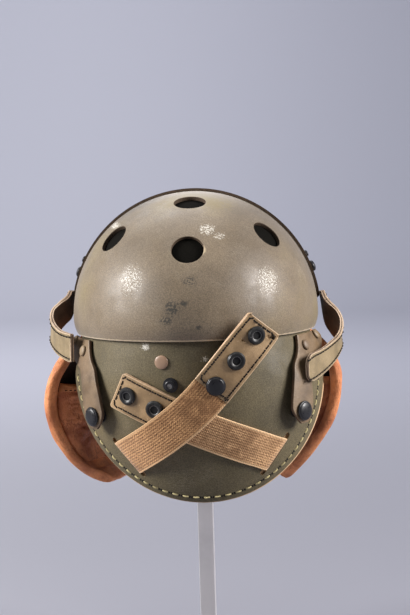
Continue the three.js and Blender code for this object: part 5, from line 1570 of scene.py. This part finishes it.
# Studio
# A pale sheet runs from under the stand and up well behind it. Its colour holds painted light: lighter on the
# left, darker on the right, and darker with painted shade on the floor near the stand. Two soft lights stand
# at the helmet's sides, a weak one hangs above, and a fourth lights the sheet.
SWEEP_WIDTH = 10.0
SWEEP_NEAR = -4.6
SWEEP_BACK = 3.4
SWEEP_RADIUS = 1.0
SWEEP_TOP = 3.2
AIM = np.array([-STAND_OFFSET + 0.0075, 0, RIM_HEIGHT + SKIRT_HEIGHT + 0.0045])
CAMERA_DISTANCE = 2.0
CAMERA_AZIMUTH = np.radians(3.0)
CAMERA_ELEVATION = np.radians(4.5)
CAMERA_ROLL = np.radians(1.7)
LENS = 142.8
SENSOR = 36
BACKDROP_LIT_LEFT = (0.45, 0.455, 0.525, 1)
BACKDROP_SHADED_RIGHT = (0.345, 0.35, 0.415, 1)
BACKDROP_SPREAD = 0.6
FLOOR_SHADE = {"near": 0.2, "far": 2.6, "shade": 0.46}
LIGHT_COLUMNS = ("name", "place", "size", "power", "colour", "aim")
LIGHTS = (
    ("left_light", (-1.50, -0.38, 0.98), (0.75, 0.7), 56, (1.0, 0.98, 0.97), AIM),
    ("right_light", (1.52, -0.32, 0.95), (0.75, 0.7), 52, (1.0, 0.97, 0.96), AIM),
    ("top_light", (0.0, -0.7, 2.2), (1.2, 1.2), 8, (1.0, 0.98, 0.96), AIM),
    ("sheet_light", (-0.8, 1.9, 2.6), (2.0, 0.8), 82, (0.97, 0.98, 1.0), (0, 3.7, 0.0)),
)
AMBIENT = {"colour": (0.80, 0.81, 0.88, 1), "strength": 0.12}

bend = np.linspace(0, np.pi / 2, 17)
track = [(SWEEP_NEAR, 0.0)]
track += [(SWEEP_BACK + SWEEP_RADIUS * np.sin(a), SWEEP_RADIUS * (1 - np.cos(a))) for a in bend]
track += [(SWEEP_BACK + SWEEP_RADIUS, SWEEP_TOP)]
sweep_points = [(x, y, z) for y, z in track for x in (-SWEEP_WIDTH / 2, SWEEP_WIDTH / 2)]
sweep_faces = [(2 * k, 2 * k + 1, 2 * k + 3, 2 * k + 2) for k in range(len(track) - 1)]
backdrop, node, shader = new_material("backdrop", Roughness=0.9, Specular_IOR_Level=0.2)
parts = node("ShaderNodeSeparateXYZ", {"Vector": spot_in(node)}).outputs
# Painted light and shade: the sheet is lighter to the left and darker to the right, and painted shade darkens
# the floor near the stand.
to_right = ranged(node, parts["X"], -BACKDROP_SPREAD, BACKDROP_SPREAD)
tone = blended(node, to_right, BACKDROP_LIT_LEFT, BACKDROP_SHADED_RIGHT)
shade = ranged(node, parts["Y"], FLOOR_SHADE["near"], FLOOR_SHADE["far"], FLOOR_SHADE["shade"], 0.0)
link(blended(node, shade, tone, (0, 0, 0, 1)), shader["Base Color"])
sweep = new_mesh("sweep", sweep_points, sweep_faces, [backdrop], sharp=CUP_EDGE)

for values in LIGHTS:
    row = dict(zip(LIGHT_COLUMNS, values))
    lamp = bpy.data.lights.new(row["name"], "AREA")
    lamp.shape = "RECTANGLE"
    lamp.size, lamp.size_y = row["size"]
    lamp.energy = row["power"]
    lamp.color = row["colour"]
    light = bpy.data.objects.new(row["name"], lamp)
    light.location = row["place"]
    light.rotation_euler = (Vector(row["aim"]) - Vector(row["place"])).to_track_quat("-Z", "Y").to_euler()
    bpy.context.scene.collection.objects.link(light)

world = bpy.data.worlds.new("studio")
world.use_nodes = True
ambient = world.node_tree.nodes["Background"].inputs
ambient["Color"].default_value = AMBIENT["colour"]
ambient["Strength"].default_value = AMBIENT["strength"]
bpy.context.scene.world = world
bpy.context.scene.view_settings.view_transform = "Standard"

camera = bpy.data.objects.new("camera", bpy.data.cameras.new("camera"))
camera.data.lens = LENS
camera.data.sensor_width = SENSOR
camera.data.clip_start, camera.data.clip_end = 0.05, 20
level_part = np.cos(CAMERA_ELEVATION)
back = Vector((np.sin(CAMERA_AZIMUTH) * level_part, -np.cos(CAMERA_AZIMUTH) * level_part,
               np.sin(CAMERA_ELEVATION)))
camera.location = Vector(AIM) + back * CAMERA_DISTANCE
looking = (-back).to_track_quat("-Z", "Y").to_matrix()
camera.rotation_euler = (looking @ Matrix.Rotation(-CAMERA_ROLL, 3, "Z")).to_euler()
bpy.context.scene.collection.objects.link(camera)
bpy.context.scene.camera = camera
